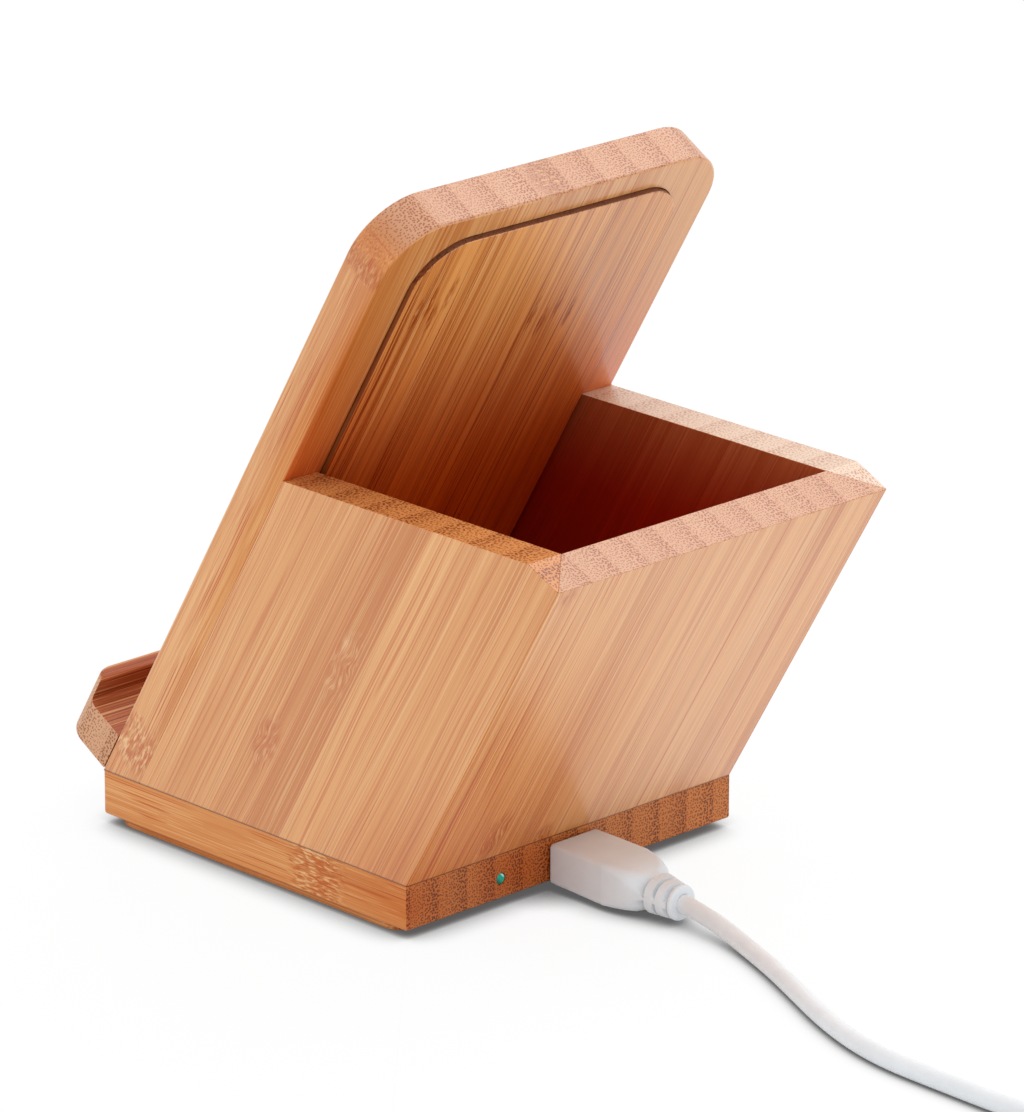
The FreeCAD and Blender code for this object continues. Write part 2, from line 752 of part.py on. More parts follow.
def plug_body():
    full_height = plug_height + plug_swell
    straight = Part.makeLoft([
        plug_section(plug_front, plug_width - plug_swell / 2, plug_height, plug_corner, 0),
        plug_section(plug_straight_end, plug_width, full_height, plug_end_corner, plug_sag)], True, True)
    shoulder_y = (plug_straight_end + plug_neck_end) / 2
    shoulder = plug_section(shoulder_y, plug_shoulder_width, plug_shoulder_height, plug_shoulder_corner,
                            plug_shoulder_sag)
    taper = Part.makeLoft([
        plug_section(plug_straight_end, plug_width, full_height, plug_end_corner, plug_sag), shoulder,
        plug_section(plug_neck_end, plug_neck_width, plug_neck_height, plug_neck_corner, plug_neck_sag)], True, True)
    relief = Part.makeLoft([
        plug_section(plug_neck_end, plug_neck_width, plug_neck_height, plug_neck_corner, plug_neck_sag),
        plug_section(relief_end, relief_diameter, relief_diameter, relief_diameter * relief_roundness, relief_sag)],
        True, True)
    collar = cylinder(relief_diameter / 2, Vector(0, relief_end, cord_exit_z), Vector(0, 1, 0), relief_collar)
    collar = collar.makeFillet(relief_collar_rounding, edges_at(collar, 1, collar_end))
    axis_z = socket_z - (plug_neck_sag + relief_sag) / 2
    relief = slotted_relief(relief, plug_neck_end, relief_length, axis_z, cord_radius + relief_core_wall)
    return straight.fuse([taper, relief, collar]).removeSplitter()


def cord_points():
    """The cord's way from the plug over the table to its coil, as it lies in the photograph."""
    floor_z = cord_floor_z
    arrive_y = coil_centre_y - cord_diameter
    return [
        Vector(0, collar_end, cord_exit_z),
        Vector(0.3, 74.8, 3.3),
        Vector(1.2, 81.2, 2.2),
        Vector(3.1, 87.7, floor_z),
        Vector(6.4, 96.2, floor_z),
        Vector(11.1, 106.5, floor_z),
        Vector(15.6, 116.2, floor_z),
        Vector(19.2, 126.2, floor_z),
        Vector(21.2, 136.2, floor_z),
        Vector(21.4, 147.2, floor_z),
        Vector(21.5, 161.5, floor_z),
        Vector(coil_start_x, 180.0, lower_layer_z),
        Vector(coil_start_x, arrive_y, lower_layer_z),
    ]


def cord_run():
    edges, radii = rounded_route(cord_points())
    print("cord run radii", [round(r, 1) for r in radii])
    tube, path = swept_tube(edges, cord_diameter)
    report_tube("cord run", tube, path, cord_diameter)
    return tube


def coil_place(turn):
    """Where the coiled cord is after some turns: in over the lower layer, up, and out over the upper one."""
    middle = coil_layer_turns
    inwards = middle - abs(turn - middle)
    radius = coil_outer_radius - inwards * turn_pitch
    climb = min(max((turn - middle) * 2 + 0.5, 0), 1)
    z = lower_layer_z + turn_pitch * climb * climb * (3 - 2 * climb)
    angle = math.pi - 2 * math.pi * turn
    return coil_centre + Vector(radius * math.cos(angle), radius * math.sin(angle), z)


def coil_heading(turn):
    step = 0.02
    return (coil_place(turn + step) - coil_place(turn - step)).normalize()


def biarc(start, start_heading, end, end_heading):
    """Two arcs that leave one place and reach another with the given headings."""
    span = end - start
    both = start_heading + end_heading
    spread = 2 * (1 - start_heading.dot(end_heading))
    along = span.dot(both)
    reach = (math.sqrt(along * along + spread * span.dot(span)) - along) / spread
    first_knee = start + start_heading * reach
    second_knee = end - end_heading * reach
    joint = (first_knee + second_knee) * 0.5
    return [arc_between(start, first_knee, joint), arc_between(joint, second_knee, end)]


def cord_coil():
    quarters = round(8 * coil_layer_turns)
    turns = [quarter / 4 for quarter in range(quarters + 1)]
    places = [coil_place(turn) for turn in turns]
    headings = [coil_heading(turn) for turn in turns]
    headings[0] = Vector(0, 1, 0)
    headings[-1] = Vector(1, 0, 0)
    edges = [Part.LineSegment(places[0] - headings[0] * cord_diameter, places[0]).toShape()]
    for start, start_heading, end, end_heading in zip(places, headings, places[1:], headings[1:]):
        edges += biarc(start, start_heading, end, end_heading)
    edges.append(Part.LineSegment(places[-1], places[-1] + headings[-1] * cord_diameter).toShape())
    tube, path = swept_tube(edges, cord_diameter)
    report_tube("cord coil", tube, path, cord_diameter)
    print("cord coil least gap", round(least_gap(path, cord_diameter), 3))
    return tube


def tail_points():
    """From the coil's last turn round to the supply plug beside it."""
    start = coil_place(2 * coil_layer_turns) + Vector(cord_diameter, 0, 0)
    plug_z = wall_plug_height / 2
    return [
        start,
        start + Vector(13.0, 0.0, 0.0),
        start + Vector(25.0, -6.5, -0.9),
        start + Vector(32.0, -18.5, plug_z - start.z),
        start + Vector(32.0, -29.0, plug_z - start.z),
    ]


def cord_tail():
    edges, radii = rounded_route(tail_points())
    print("cord tail radii", [round(r, 1) for r in radii])
    tube, path = swept_tube(edges, cord_diameter)
    report_tube("cord tail", tube, path, cord_diameter)
    return tube


def cord_tie():
    """A strap round the coil's turns, laid across them on the side away from the holder."""
    half_span = tie_width / (4 * math.pi * coil_mean_radius)
    under_tie = [(coil_place(k + tie_turn + nudge) - coil_centre) for k in range(int(2 * coil_layer_turns))
                 for nudge in (-half_span, 0, half_span)]
    reaches = [math.hypot(place.x, place.y) for place in under_tie]
    bow = tie_width ** 2 / (8 * (min(reaches) - cord_radius))
    clear = cord_radius + tie_clearance
    inner = coil_centre.x + min(reaches) - clear - bow
    outer = coil_centre.x + max(reaches) + clear
    low = lower_layer_z - clear
    high = upper_layer_z + clear
    t = tie_thickness
    near = coil_centre_y - tie_width / 2
    far = coil_centre_y + tie_width / 2
    band = box(inner - t, outer + t, near, far, low - t, high + t)
    band = band.makeFillet(tie_bend_radius + t, edges_along(band, Vector(0, 1, 0)))
    hollow = box(inner, outer, near - cut_overrun, far + cut_overrun, low, high)
    hollow = hollow.makeFillet(tie_bend_radius, edges_along(hollow, Vector(0, 1, 0)))
    tab_start = inner + tie_tab_inset
    tab = box(tab_start, tab_start + tie_tab, near, far, high + t, high + 2 * t)
    tab = tab.makeFillet(tie_tab_rounding, edges_along(tab, Vector(0, 1, 0)))
    return band.cut(hollow).fuse(tab).removeSplitter()


def at_supply_end(shape):
    """Moves a plug drawn along +Y from the socket's axis to the tail's end, pointing back towards -Y."""
    end = tail_points()[-1]
    placed = shape.copy()
    placed.translate(Vector(0, 0, -socket_z))
    placed.rotate(Vector(0, 0, 0), Vector(0, 0, 1), 180)
    placed.translate(end)
    return placed


def wall_plug_body():
    body_start = wall_relief_length + wall_plug_taper
    body_end = wall_relief_length + wall_plug_length
    root = wall_relief_diameter
    tip = wall_relief_tip
    relief = Part.makeLoft([
        plug_section(0, tip, tip, tip * relief_roundness, 0),
        plug_section(wall_relief_length, wall_relief_width, root, root * relief_roundness, 0)], True, True)
    relief = slotted_relief(relief, relief_collar, wall_relief_length - relief_collar, socket_z,
                            cord_radius + relief_core_wall)
    shoulder = Part.makeLoft([
        plug_section(wall_relief_length, wall_relief_width, root, root * relief_roundness, 0),
        plug_section(body_start, wall_plug_width, wall_plug_height, wall_plug_corner, 0)], True, True)
    body = Part.makeLoft([
        plug_section(body_start, wall_plug_width, wall_plug_height, wall_plug_corner, 0),
        plug_section(body_end, wall_plug_width, wall_plug_height, wall_plug_corner, 0)], True, True)
    return at_supply_end(relief.fuse([shoulder, body]).removeSplitter())


def wall_plug_shell():
    start = wall_relief_length + wall_plug_length
    half = wall_shell_width / 2
    rise = wall_shell_height / 2
    w = wall_shell_wall
    outer = box(-half, half, start, start + wall_shell_reach, socket_z - rise, socket_z + rise)
    outer = outer.makeFillet(w, edges_along(outer, Vector(0, 1, 0)))
    hollow = box(-half + w, half - w, start - cut_overrun, start + wall_shell_reach + cut_overrun,
                 socket_z - rise + w, socket_z + rise - w)
    windows = []
    for side in (-1, 1):
        for face in (-1, 1):
            x = side * wall_window_spacing / 2
            y = start + wall_window_reach
            z = socket_z + face * rise
            windows.append(box(x - wall_window_size / 2, x + wall_window_size / 2, y, y + wall_window_size,
                               z - 2 * w, z + 2 * w))
    return at_supply_end(outer.cut([hollow] + windows))


def wall_plug_insert():
    start = wall_relief_length + wall_plug_length
    half = wall_shell_width / 2 - wall_shell_wall
    top = socket_z + wall_shell_height / 2 - wall_shell_wall
    block = box(-half, half, start, start + wall_shell_reach - wall_shell_wall, top - wall_insert_thickness, top)
    return at_supply_end(block)


NODES = {
    "base_board": base_board,
    "bottom_cover": bottom_cover,
    "charging_panel": charging_panel,
    "coil_cover": coil_cover,
    "left_side_wall": lambda: side_wall(-1),
    "right_side_wall": lambda: side_wall(1),
    "back_wall": back_wall,
    "phone_ledge": phone_ledge,
    "ledge_dowels": lambda: Part.makeCompound([dowel(place) for place in dowel_places()]),
    "cover_screws": lambda: Part.makeCompound([screw(p, 0, cover_screw_length) for p in cover_screw_places()]),
    "panel_screws": lambda: Part.makeCompound([screw(p, base_bottom, panel_screw_length)
                                               for p in panel_screw_places()]),
    "wall_screws": lambda: Part.makeCompound([screw(p, base_bottom, wall_screw_length) for p in wall_screw_places()]),
    "charging_coil": charging_coil,
    "ferrite_shield": ferrite_shield,
    "coil_leads": coil_leads,
    "circuit_board": circuit_board,
    "board_screws": board_screws,
    "control_chip": control_chip,
    "power_inductor": power_inductor,
    "resonance_capacitors": resonance_capacitors,
    "status_led": status_led,
    "led_window": led_window,
    "usb_socket_shell": usb_socket_shell,
    "usb_socket_tongue": usb_socket_tongue,
    "plug_body": plug_body,
    "plug_metal_shell": plug_metal_shell,
    "plug_insert": plug_insert,
    "cord_run": cord_run,
    "cord_coil": cord_coil,
    "cord_tail": cord_tail,
    "cord_tie": cord_tie,
    "wall_plug_body": wall_plug_body,
    "wall_plug_shell": wall_plug_shell,
    "wall_plug_insert": wall_plug_insert,
}

os.makedirs("parts", exist_ok=True)
for name, make in NODES.items():
    shape = make()
    if not shape.isValid():
        print("not valid:", name)
    shape.exportStep("parts/" + name + ".step")
    print(name, "solids", len(shape.Solids), "volume", round(shape.Volume, 1))
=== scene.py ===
import bpy
import bmesh
import json
import math
from mathutils import Matrix, Vector


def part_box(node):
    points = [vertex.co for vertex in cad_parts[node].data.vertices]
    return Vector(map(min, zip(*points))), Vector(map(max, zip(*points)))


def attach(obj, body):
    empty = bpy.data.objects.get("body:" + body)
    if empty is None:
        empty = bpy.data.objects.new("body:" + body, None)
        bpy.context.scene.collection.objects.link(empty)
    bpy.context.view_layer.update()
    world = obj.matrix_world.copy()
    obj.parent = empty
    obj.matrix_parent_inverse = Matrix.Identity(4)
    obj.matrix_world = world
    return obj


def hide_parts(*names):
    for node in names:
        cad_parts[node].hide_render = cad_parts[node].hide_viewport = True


# A bamboo pen box with a charging panel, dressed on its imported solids. Metres, in the solids' own frame.
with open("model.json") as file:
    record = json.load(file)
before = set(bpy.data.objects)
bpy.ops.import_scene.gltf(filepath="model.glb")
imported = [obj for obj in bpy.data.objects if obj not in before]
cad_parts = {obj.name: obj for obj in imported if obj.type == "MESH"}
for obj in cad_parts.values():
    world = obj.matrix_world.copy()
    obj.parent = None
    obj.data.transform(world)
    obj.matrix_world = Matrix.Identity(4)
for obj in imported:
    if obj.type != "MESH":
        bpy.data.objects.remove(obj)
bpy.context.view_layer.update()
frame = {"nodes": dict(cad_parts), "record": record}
nodes = frame["nodes"]
mm = 0.001

# Sizes shared with the solids
lean = math.radians(30.5)
front_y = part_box("base_board")[0].y
base_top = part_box("base_board")[1].z
rim_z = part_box("right_side_wall")[1].z

# Camera, set where the photograph was taken from
image_width = 1024
image_height = 1112
focal_pixels = 7391.77
sensor_size = 36.0
camera_azimuth = math.radians(135.9446)
camera_elevation = math.radians(18.9651)
camera_roll = math.radians(0.1263)
camera_distance = 1.298379
camera_target = Vector((0.0009227, 0.0257021, 0.0577926))
camera_near = 0.05
camera_far = 50

# Cord
cord_diameter = 3.3 * mm
cord_radius = cord_diameter / 2
cord_exit = Vector((0, 67.8, 4.05)) * mm
cord_roundness = 7
cord_resolution = 5
turn_pitch = 3.8 * mm
coil_layer_turns = 3.625
coil_mean_radius = 18.4 * mm
coil_outer_radius = coil_mean_radius + coil_layer_turns * turn_pitch / 2
coil_centre = Vector((22.0 * mm + coil_outer_radius, 202.0 * mm, 0))
lower_layer_z = 2.4 * mm
coil_points_per_turn = 24
supply_plug_z = 4.0 * mm

# Strap round the coil
tie_thickness = 0.6 * mm
tie_bend_radius = 1.3 * mm
tie_bend_segments = 8
tie_edge_radius = 0.15 * mm
tie_edge_segments = 3
tie_tab = 7.0 * mm
tie_tab_inset = 2.4 * mm

# Plug, in millimetres; a ring has its distance along the plug, width, height, corner radius and sag
plug_middle_z = 5.25
plug_front = 40.3
plug_front_rounding = 0.6
plug_front_steps = 5
plug_body_rings = [
    (40.9, 11.7, 7.5, 0.75, 0.0),
    (46.0, 11.8, 7.65, 0.8, 0.1),
    (53.2, 11.9, 7.9, 0.9, 0.33),
    (53.5, 11.9, 7.9, 0.92, 0.35),
    (53.8, 11.83, 7.88, 0.98, 0.36),
    (55.6, 11.45, 7.8, 1.3, 0.42),
    (57.45, 10.9, 7.65, 1.75, 0.5),
    (59.4, 9.8, 7.25, 2.4, 0.68),
]
plug_neck = (61.4, 8.4, 6.8, 3.1, 0.9)
plug_relief = (66.6, 6.5, 6.5, 3.2, 1.2)
plug_collar_end = 67.8
plug_collar_rounding = 0.55
plug_collar_steps = 12
plug_bore_fit = 0.1
plug_bore_corner = 0.49
plug_disc_radius = 4.0
relief_step = 0.1
relief_slots = 3
relief_slot = 0.6
relief_slot_edge = 0.16
relief_web = 1.0
relief_web_edge = 0.5
relief_core = 2.35
ring_corner_points = 10
ring_side_points = 6

# Winding behind the charging face
winding_wire = 1.0 * mm
winding_inner_radius = 8.0 * mm
winding_outer_radius = 21.5 * mm
winding_turns = 9.5
winding_depth = 4.35 * mm
winding_height = 76.0 * mm
winding_roundness = 3
winding_resolution = 4

# Bamboo: grain sizes in millimetres across a strip, through it and along it
bundle_spacing = 0.62
bundle_scatter = 0.8
wander_size = (9, 9, 45)
wander_reach = (1.8, 0.3, 0.0)
swerve_size = (4, 4, 7)
swerve_depth = 0.3
silk_size = (0.2, 0.2, 30)
broad_size = (2.0, 5, 80)
thread_size = (0.24, 0.24, 70)
dash_size = (0.5, 0.5, 2.6)
slit_size = (1.5, 0.5, 2.6)
glue_line = 0.16
glue_on_long_grain = 0.35
glue_on_end_grain = 0.12

# Bamboo: the dark seam on the base, the lacquer and the relief of the grain
seam_top = base_top + 0.45 * mm
seam_bottom = base_top + 0.1 * mm
seam_share = 0.8
end_gloss = 0.25
lacquer_roughness = 0.24
grain_depth = 0.05 * mm
grain_strength = 0.6

# Moulded plastic, in millimetres
cloud_size = 4.0
speck_size = 0.12

# Floor and light
floor_size = 12
floor_drop = 0.05 * mm
floor_colour = (0.91, 0.93, 0.94, 1)
floor_glow = 0.93
contact_reach = 10 * mm
contact_darkest = 0.1
sky_seen = 1.0
sky_on_surfaces = 0.9
softbox_size = 0.8
softboxes = [
    ("right softbox", (-0.66, -0.05, 0.85), 3.6),
    ("top softbox", (0.25, 0.35, 1.1), 2.0),
]


# Camera

def place_camera():
    back = Vector((math.sin(camera_azimuth) * math.cos(camera_elevation),
                   -math.cos(camera_azimuth) * math.cos(camera_elevation), math.sin(camera_elevation)))
    level_right = Vector((math.cos(camera_azimuth), math.sin(camera_azimuth), 0))
    level_up = back.cross(level_right)
    right = level_right * math.cos(camera_roll) + level_up * math.sin(camera_roll)
    up = level_up * math.cos(camera_roll) - level_right * math.sin(camera_roll)
    lens = bpy.data.cameras.new("camera")
    lens.sensor_width = sensor_size
    lens.lens = sensor_size * focal_pixels / max(image_width, image_height)
    lens.clip_start = camera_near
    lens.clip_end = camera_far
    camera = bpy.data.objects.new("camera", lens)
    place = camera_target + back * camera_distance
    turn = Matrix((right, up, back)).transposed().to_4x4()
    camera.matrix_world = Matrix.Translation(place) @ turn
    bpy.context.scene.collection.objects.link(camera)
    bpy.context.scene.camera = camera


# Tools for modelling

def deselect():
    for piece in bpy.context.selected_objects:
        piece.select_set(False)


def only(piece):
    deselect()
    piece.select_set(True)
    bpy.context.view_layer.objects.active = piece


def block(name, low, high):
    """A new block between two corners, with its place and size in its mesh."""
    deselect()
    bpy.ops.mesh.primitive_cube_add(size=1, location=(Vector(low) + Vector(high)) / 2)
    piece = bpy.context.object
    piece.name = name
    piece.scale = Vector(high) - Vector(low)
    bpy.ops.object.transform_apply(location=True, rotation=True, scale=True)
    return piece


def pick(piece, kind, wanted):
    """In edit mode, selects the faces or edges that a test wants."""
    bpy.ops.mesh.select_mode(type="FACE" if kind == "faces" else "EDGE")
    shape = bmesh.from_edit_mesh(piece.data)
    for face in shape.faces:
        face.select_set(False)
    for part in getattr(shape, kind):
        if wanted(part):
            part.select_set(True)
    shape.select_flush_mode()
    bmesh.update_edit_mesh(piece.data)


def runs_along(edge, axis):
    step = edge.verts[1].co - edge.verts[0].co
    return abs(step[axis]) > 0.99 * step.length


def modify(piece, kind, **settings):
    """Adds a modifier and applies it."""
    only(piece)
    made = piece.modifiers.new(kind.lower(), kind)
    for name, value in settings.items():
        setattr(made, name, value)
    bpy.ops.object.modifier_apply(modifier=made.name)


def smooth(piece, angle=40):
    only(piece)
    bpy.ops.object.shade_smooth_by_angle(angle=math.radians(angle))


def ease(value):
    """A smooth step from 0 to 1 as the value goes from 0 to 1."""
    share = min(max(value, 0), 1)
    return share * share * (3 - 2 * share)


def line_piece(name, points, radius, roundness, resolution):
    """A round bar that follows one smooth spline."""
    line = bpy.data.curves.new(name, "CURVE")
    line.dimensions = "3D"
    spline = line.splines.new("NURBS")
    spline.points.add(len(points) - 1)
    for knot, place in zip(spline.points, points):
        knot.co = (place.x, place.y, place.z, 1)
    spline.order_u = 3
    spline.use_endpoint_u = True
    line.resolution_u = resolution
    line.bevel_depth = radius
    line.bevel_resolution = roundness
    line.use_fill_caps = True
    piece = bpy.data.objects.new(name, line)
    bpy.context.scene.collection.objects.link(piece)
    return piece


grain_turn = Matrix.Rotation(lean, 3, "X")


def lean_point(across, inwards, up):
    """A place on the leaning boards: across them, inwards from the charging face and up the slope."""
    return grain_turn.transposed() @ Vector((across, inwards, up)) + Vector((0, front_y, base_top))


inwards_direction = lean_point(0, 1, 0) - lean_point(0, 0, 0)


# Cord

def coil_place(turn):
    """Where the coiled cord is after some turns: in over the lower layer, up, and out over the upper one."""
    inwards = coil_layer_turns - abs(turn - coil_layer_turns)
    radius = coil_outer_radius - inwards * turn_pitch
    z = lower_layer_z + turn_pitch * ease((turn - coil_layer_turns) * 2 + 0.5)
    angle = math.pi - 2 * math.pi * turn
    return coil_centre + Vector((radius * math.cos(angle), radius * math.sin(angle), z))


def cord_route():
    """The cord's way over the table, round its coil and on to the supply plug."""
    run = [
        (0.3, 74.8, 3.3),
        (1.2, 81.2, 2.2),
        (3.1, 87.7, 1.7),
        (6.4, 96.2, 1.7),
        (11.1, 106.5, 1.7),
        (15.6, 116.2, 1.7),
        (19.2, 126.2, 1.7),
        (21.2, 136.2, 1.7),
        (21.4, 147.2, 1.7),
        (21.5, 161.5, 1.7),
        (22.0, 180.0, 2.4),
        (22.0, 198.7, 2.4),
    ]
    points = [cord_exit] + [Vector(place) * mm for place in run]
    last_turn = 2 * coil_layer_turns
    for step in range(round(last_turn * coil_points_per_turn) + 1):
        points.append(coil_place(step / coil_points_per_turn))
    leave = coil_place(last_turn) + Vector((cord_diameter, 0, 0))
    drop = (supply_plug_z - leave.z) / mm
    tail = [(0, 0, 0), (13.0, 0, 0), (25.0, -6.5, -0.9), (32.0, -18.5, drop), (32.0, -29.0, drop)]
    return points + [leave + Vector(step) * mm for step in tail]


def make_tie():
    """A strap round the coil's turns, with its end laid on top."""
    low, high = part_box("cord_tie")
    band_top = high.z - tie_thickness
    band = block("strap", low, (high.x, high.y, band_top))
    bpy.ops.object.mode_set(mode="EDIT")
    pick(band, "faces", lambda face: abs(face.normal.y) > 0.9)
    bpy.ops.mesh.delete(type="FACE")
    pick(band, "edges", lambda edge: runs_along(edge, 1))
    bpy.ops.mesh.bevel(offset=tie_bend_radius, segments=tie_bend_segments, affect="EDGES")
    bpy.ops.object.mode_set(mode="OBJECT")
    modify(band, "SOLIDIFY", thickness=tie_thickness, offset=-1)
    start = low.x + tie_tab_inset
    tab = block("strap end", (start, low.y, band_top), (start + tie_tab, high.y, high.z))
    only(band)
    tab.select_set(True)
    bpy.ops.object.join()
    modify(band, "BEVEL", width=tie_edge_radius, segments=tie_edge_segments, limit_method="ANGLE",
           angle_limit=math.radians(50))
    smooth(band)
    return band


def ring(y, width, height, corner, sag):
    """Points of a rounded outline across the plug, in order of their angle about its middle."""
    middle_z = plug_middle_z - sag
    points = []
    for side_x, side_z, start in ((-1, -1, 180), (1, -1, 270), (1, 1, 0), (-1, 1, 90)):
        for step in range(ring_corner_points + 1):
            angle = math.radians(start + 90 * step / ring_corner_points)
            points.append((side_x * (width / 2 - corner) + corner * math.cos(angle),
                           side_z * (height / 2 - corner) + corner * math.sin(angle)))
    filled = []
    for index, (x, z) in enumerate(points):
        filled.append((x, z))
        next_x, next_z = points[(index + 1) % len(points)]
        if index % (ring_corner_points + 1) == ring_corner_points:
            for step in range(1, ring_side_points + 1):
                share = step / (ring_side_points + 1)
                filled.append((x + (next_x - x) * share, z + (next_z - z) * share))
    filled.sort(key=lambda point: math.atan2(point[1], point[0]))
    return [Vector((x, y, z + middle_z)) * mm for x, z in filled]


def between(first, second, share):
    return [a + (b - a) * share for a, b in zip(first, second)]


def slotted(points, depth):
    """Draws a ring of the strain relief in to its core, above and below the web at its middle height."""
    middle = sum(points, Vector()) / len(points)
    drawn = []
    for point in points:
        out = point - middle
        share = depth * ease((abs(out.z) / mm - relief_web / 2) / relief_web_edge)
        core = middle + Vector((out.x, 0, out.z)).normalized() * min(relief_core * mm, out.length)
        drawn.append(point.lerp(core, share))
    return drawn


def slot_depth(along):
    """How deep the relief is cut at a distance from its start: slots with soft edges."""
    length = plug_relief[0] - plug_neck[0]
    pitch = (length - relief_slot) / (relief_slots - 1)
    off = min(abs(along - relief_slot / 2 - pitch * index) for index in range(relief_slots))
    return ease((relief_slot / 2 + relief_slot_edge / 2 - off) / relief_slot_edge)


def plug_rings():
    """The plug's rings: its rounded front, its body, the slotted relief, the collar and the cord's bore."""
    rings = []
    width, height, corner, sag = plug_body_rings[0][1:]
    for step in range(plug_front_steps):
        angle = math.pi / 2 * step / plug_front_steps
        y = plug_front + plug_front_rounding * (1 - math.cos(angle))
        inset = plug_front_rounding * (1 - math.sin(angle))
        rings.append(ring(y, width - 2 * inset, height - 2 * inset, corner, sag))
    rings += [ring(*row) for row in plug_body_rings]
    steps = round((plug_relief[0] - plug_neck[0]) / relief_step)
    for step in range(steps + 1):
        row = between(plug_neck, plug_relief, step / steps)
        rings.append(slotted(ring(*row), slot_depth(row[0] - plug_neck[0])))
    start, width, height, corner, sag = plug_relief
    length = plug_collar_end - start
    for step in range(plug_collar_steps + 1):
        share = step / plug_collar_steps
        dip = max(plug_collar_rounding - min(share, 1 - share) * length, 0)
        inset = plug_collar_rounding - math.sqrt(plug_collar_rounding ** 2 - dip ** 2)
        rings.append(ring(start + share * length, width - 2 * inset, height - 2 * inset, corner - inset, sag))
    bore = cord_diameter / mm - plug_bore_fit
    rings.append(ring(plug_collar_end, bore, bore, bore * plug_bore_corner, sag))
    return rings


def make_plug():
    """The moulded plug at the holder's end: a disc drawn out ring by ring to its strain relief."""
    rings = plug_rings()
    deselect()
    bpy.ops.mesh.primitive_circle_add(vertices=len(rings[0]), radius=plug_disc_radius * mm, fill_type="NGON",
                                      rotation=(math.pi / 2, 0, 0))
    plug = bpy.context.object
    plug.name = "plug"
    bpy.ops.object.transform_apply(location=True, rotation=True, scale=True)
    bpy.ops.object.mode_set(mode="EDIT")
    bpy.ops.mesh.select_all(action="SELECT")
    for index, points in enumerate(rings):
        if index:
            bpy.ops.mesh.extrude_region_move(TRANSFORM_OT_translate={"value": (0, relief_step * mm, 0)})
        shape = bmesh.from_edit_mesh(plug.data)
        chosen = [corner for corner in shape.verts if corner.select]
        middle = sum((corner.co for corner in chosen), Vector()) / len(chosen)
        chosen.sort(key=lambda corner: math.atan2(corner.co.z - middle.z, corner.co.x - middle.x))
        for corner, point in zip(chosen, points):
            corner.co = point
        bmesh.update_edit_mesh(plug.data)
    bpy.ops.mesh.select_all(action="SELECT")
    bpy.ops.mesh.normals_make_consistent(inside=False)
    bpy.ops.object.mode_set(mode="OBJECT")
    smooth(plug, 50)
    return plug


def make_winding():
    """The flat spiral of wire behind the charging face."""
    points = []
    steps = round(winding_turns * coil_points_per_turn)
    for step in range(steps + 1):
        share = step / steps
        radius = winding_inner_radius + share * (winding_outer_radius - winding_inner_radius)
        angle = 2 * math.pi * winding_turns * share
        across = radius * math.cos(angle)
        up = winding_height + radius * math.sin(angle)
        points.append(lean_point(across, winding_depth, up))
    return line_piece("winding", points, winding_wire / 2, winding_roundness, winding_resolution)


# Finishes: short names for adding shader nodes to one tree

def tint(red, green, blue):
    """A colour given as it looks on a screen, from 0 to 255, as the shader wants it."""
    def linear(value):
        share = value / 255
        return share / 12.92 if share <= 0.04045 else ((share + 0.055) / 1.055) ** 2.4
    return (linear(red), linear(green), linear(blue), 1.0)


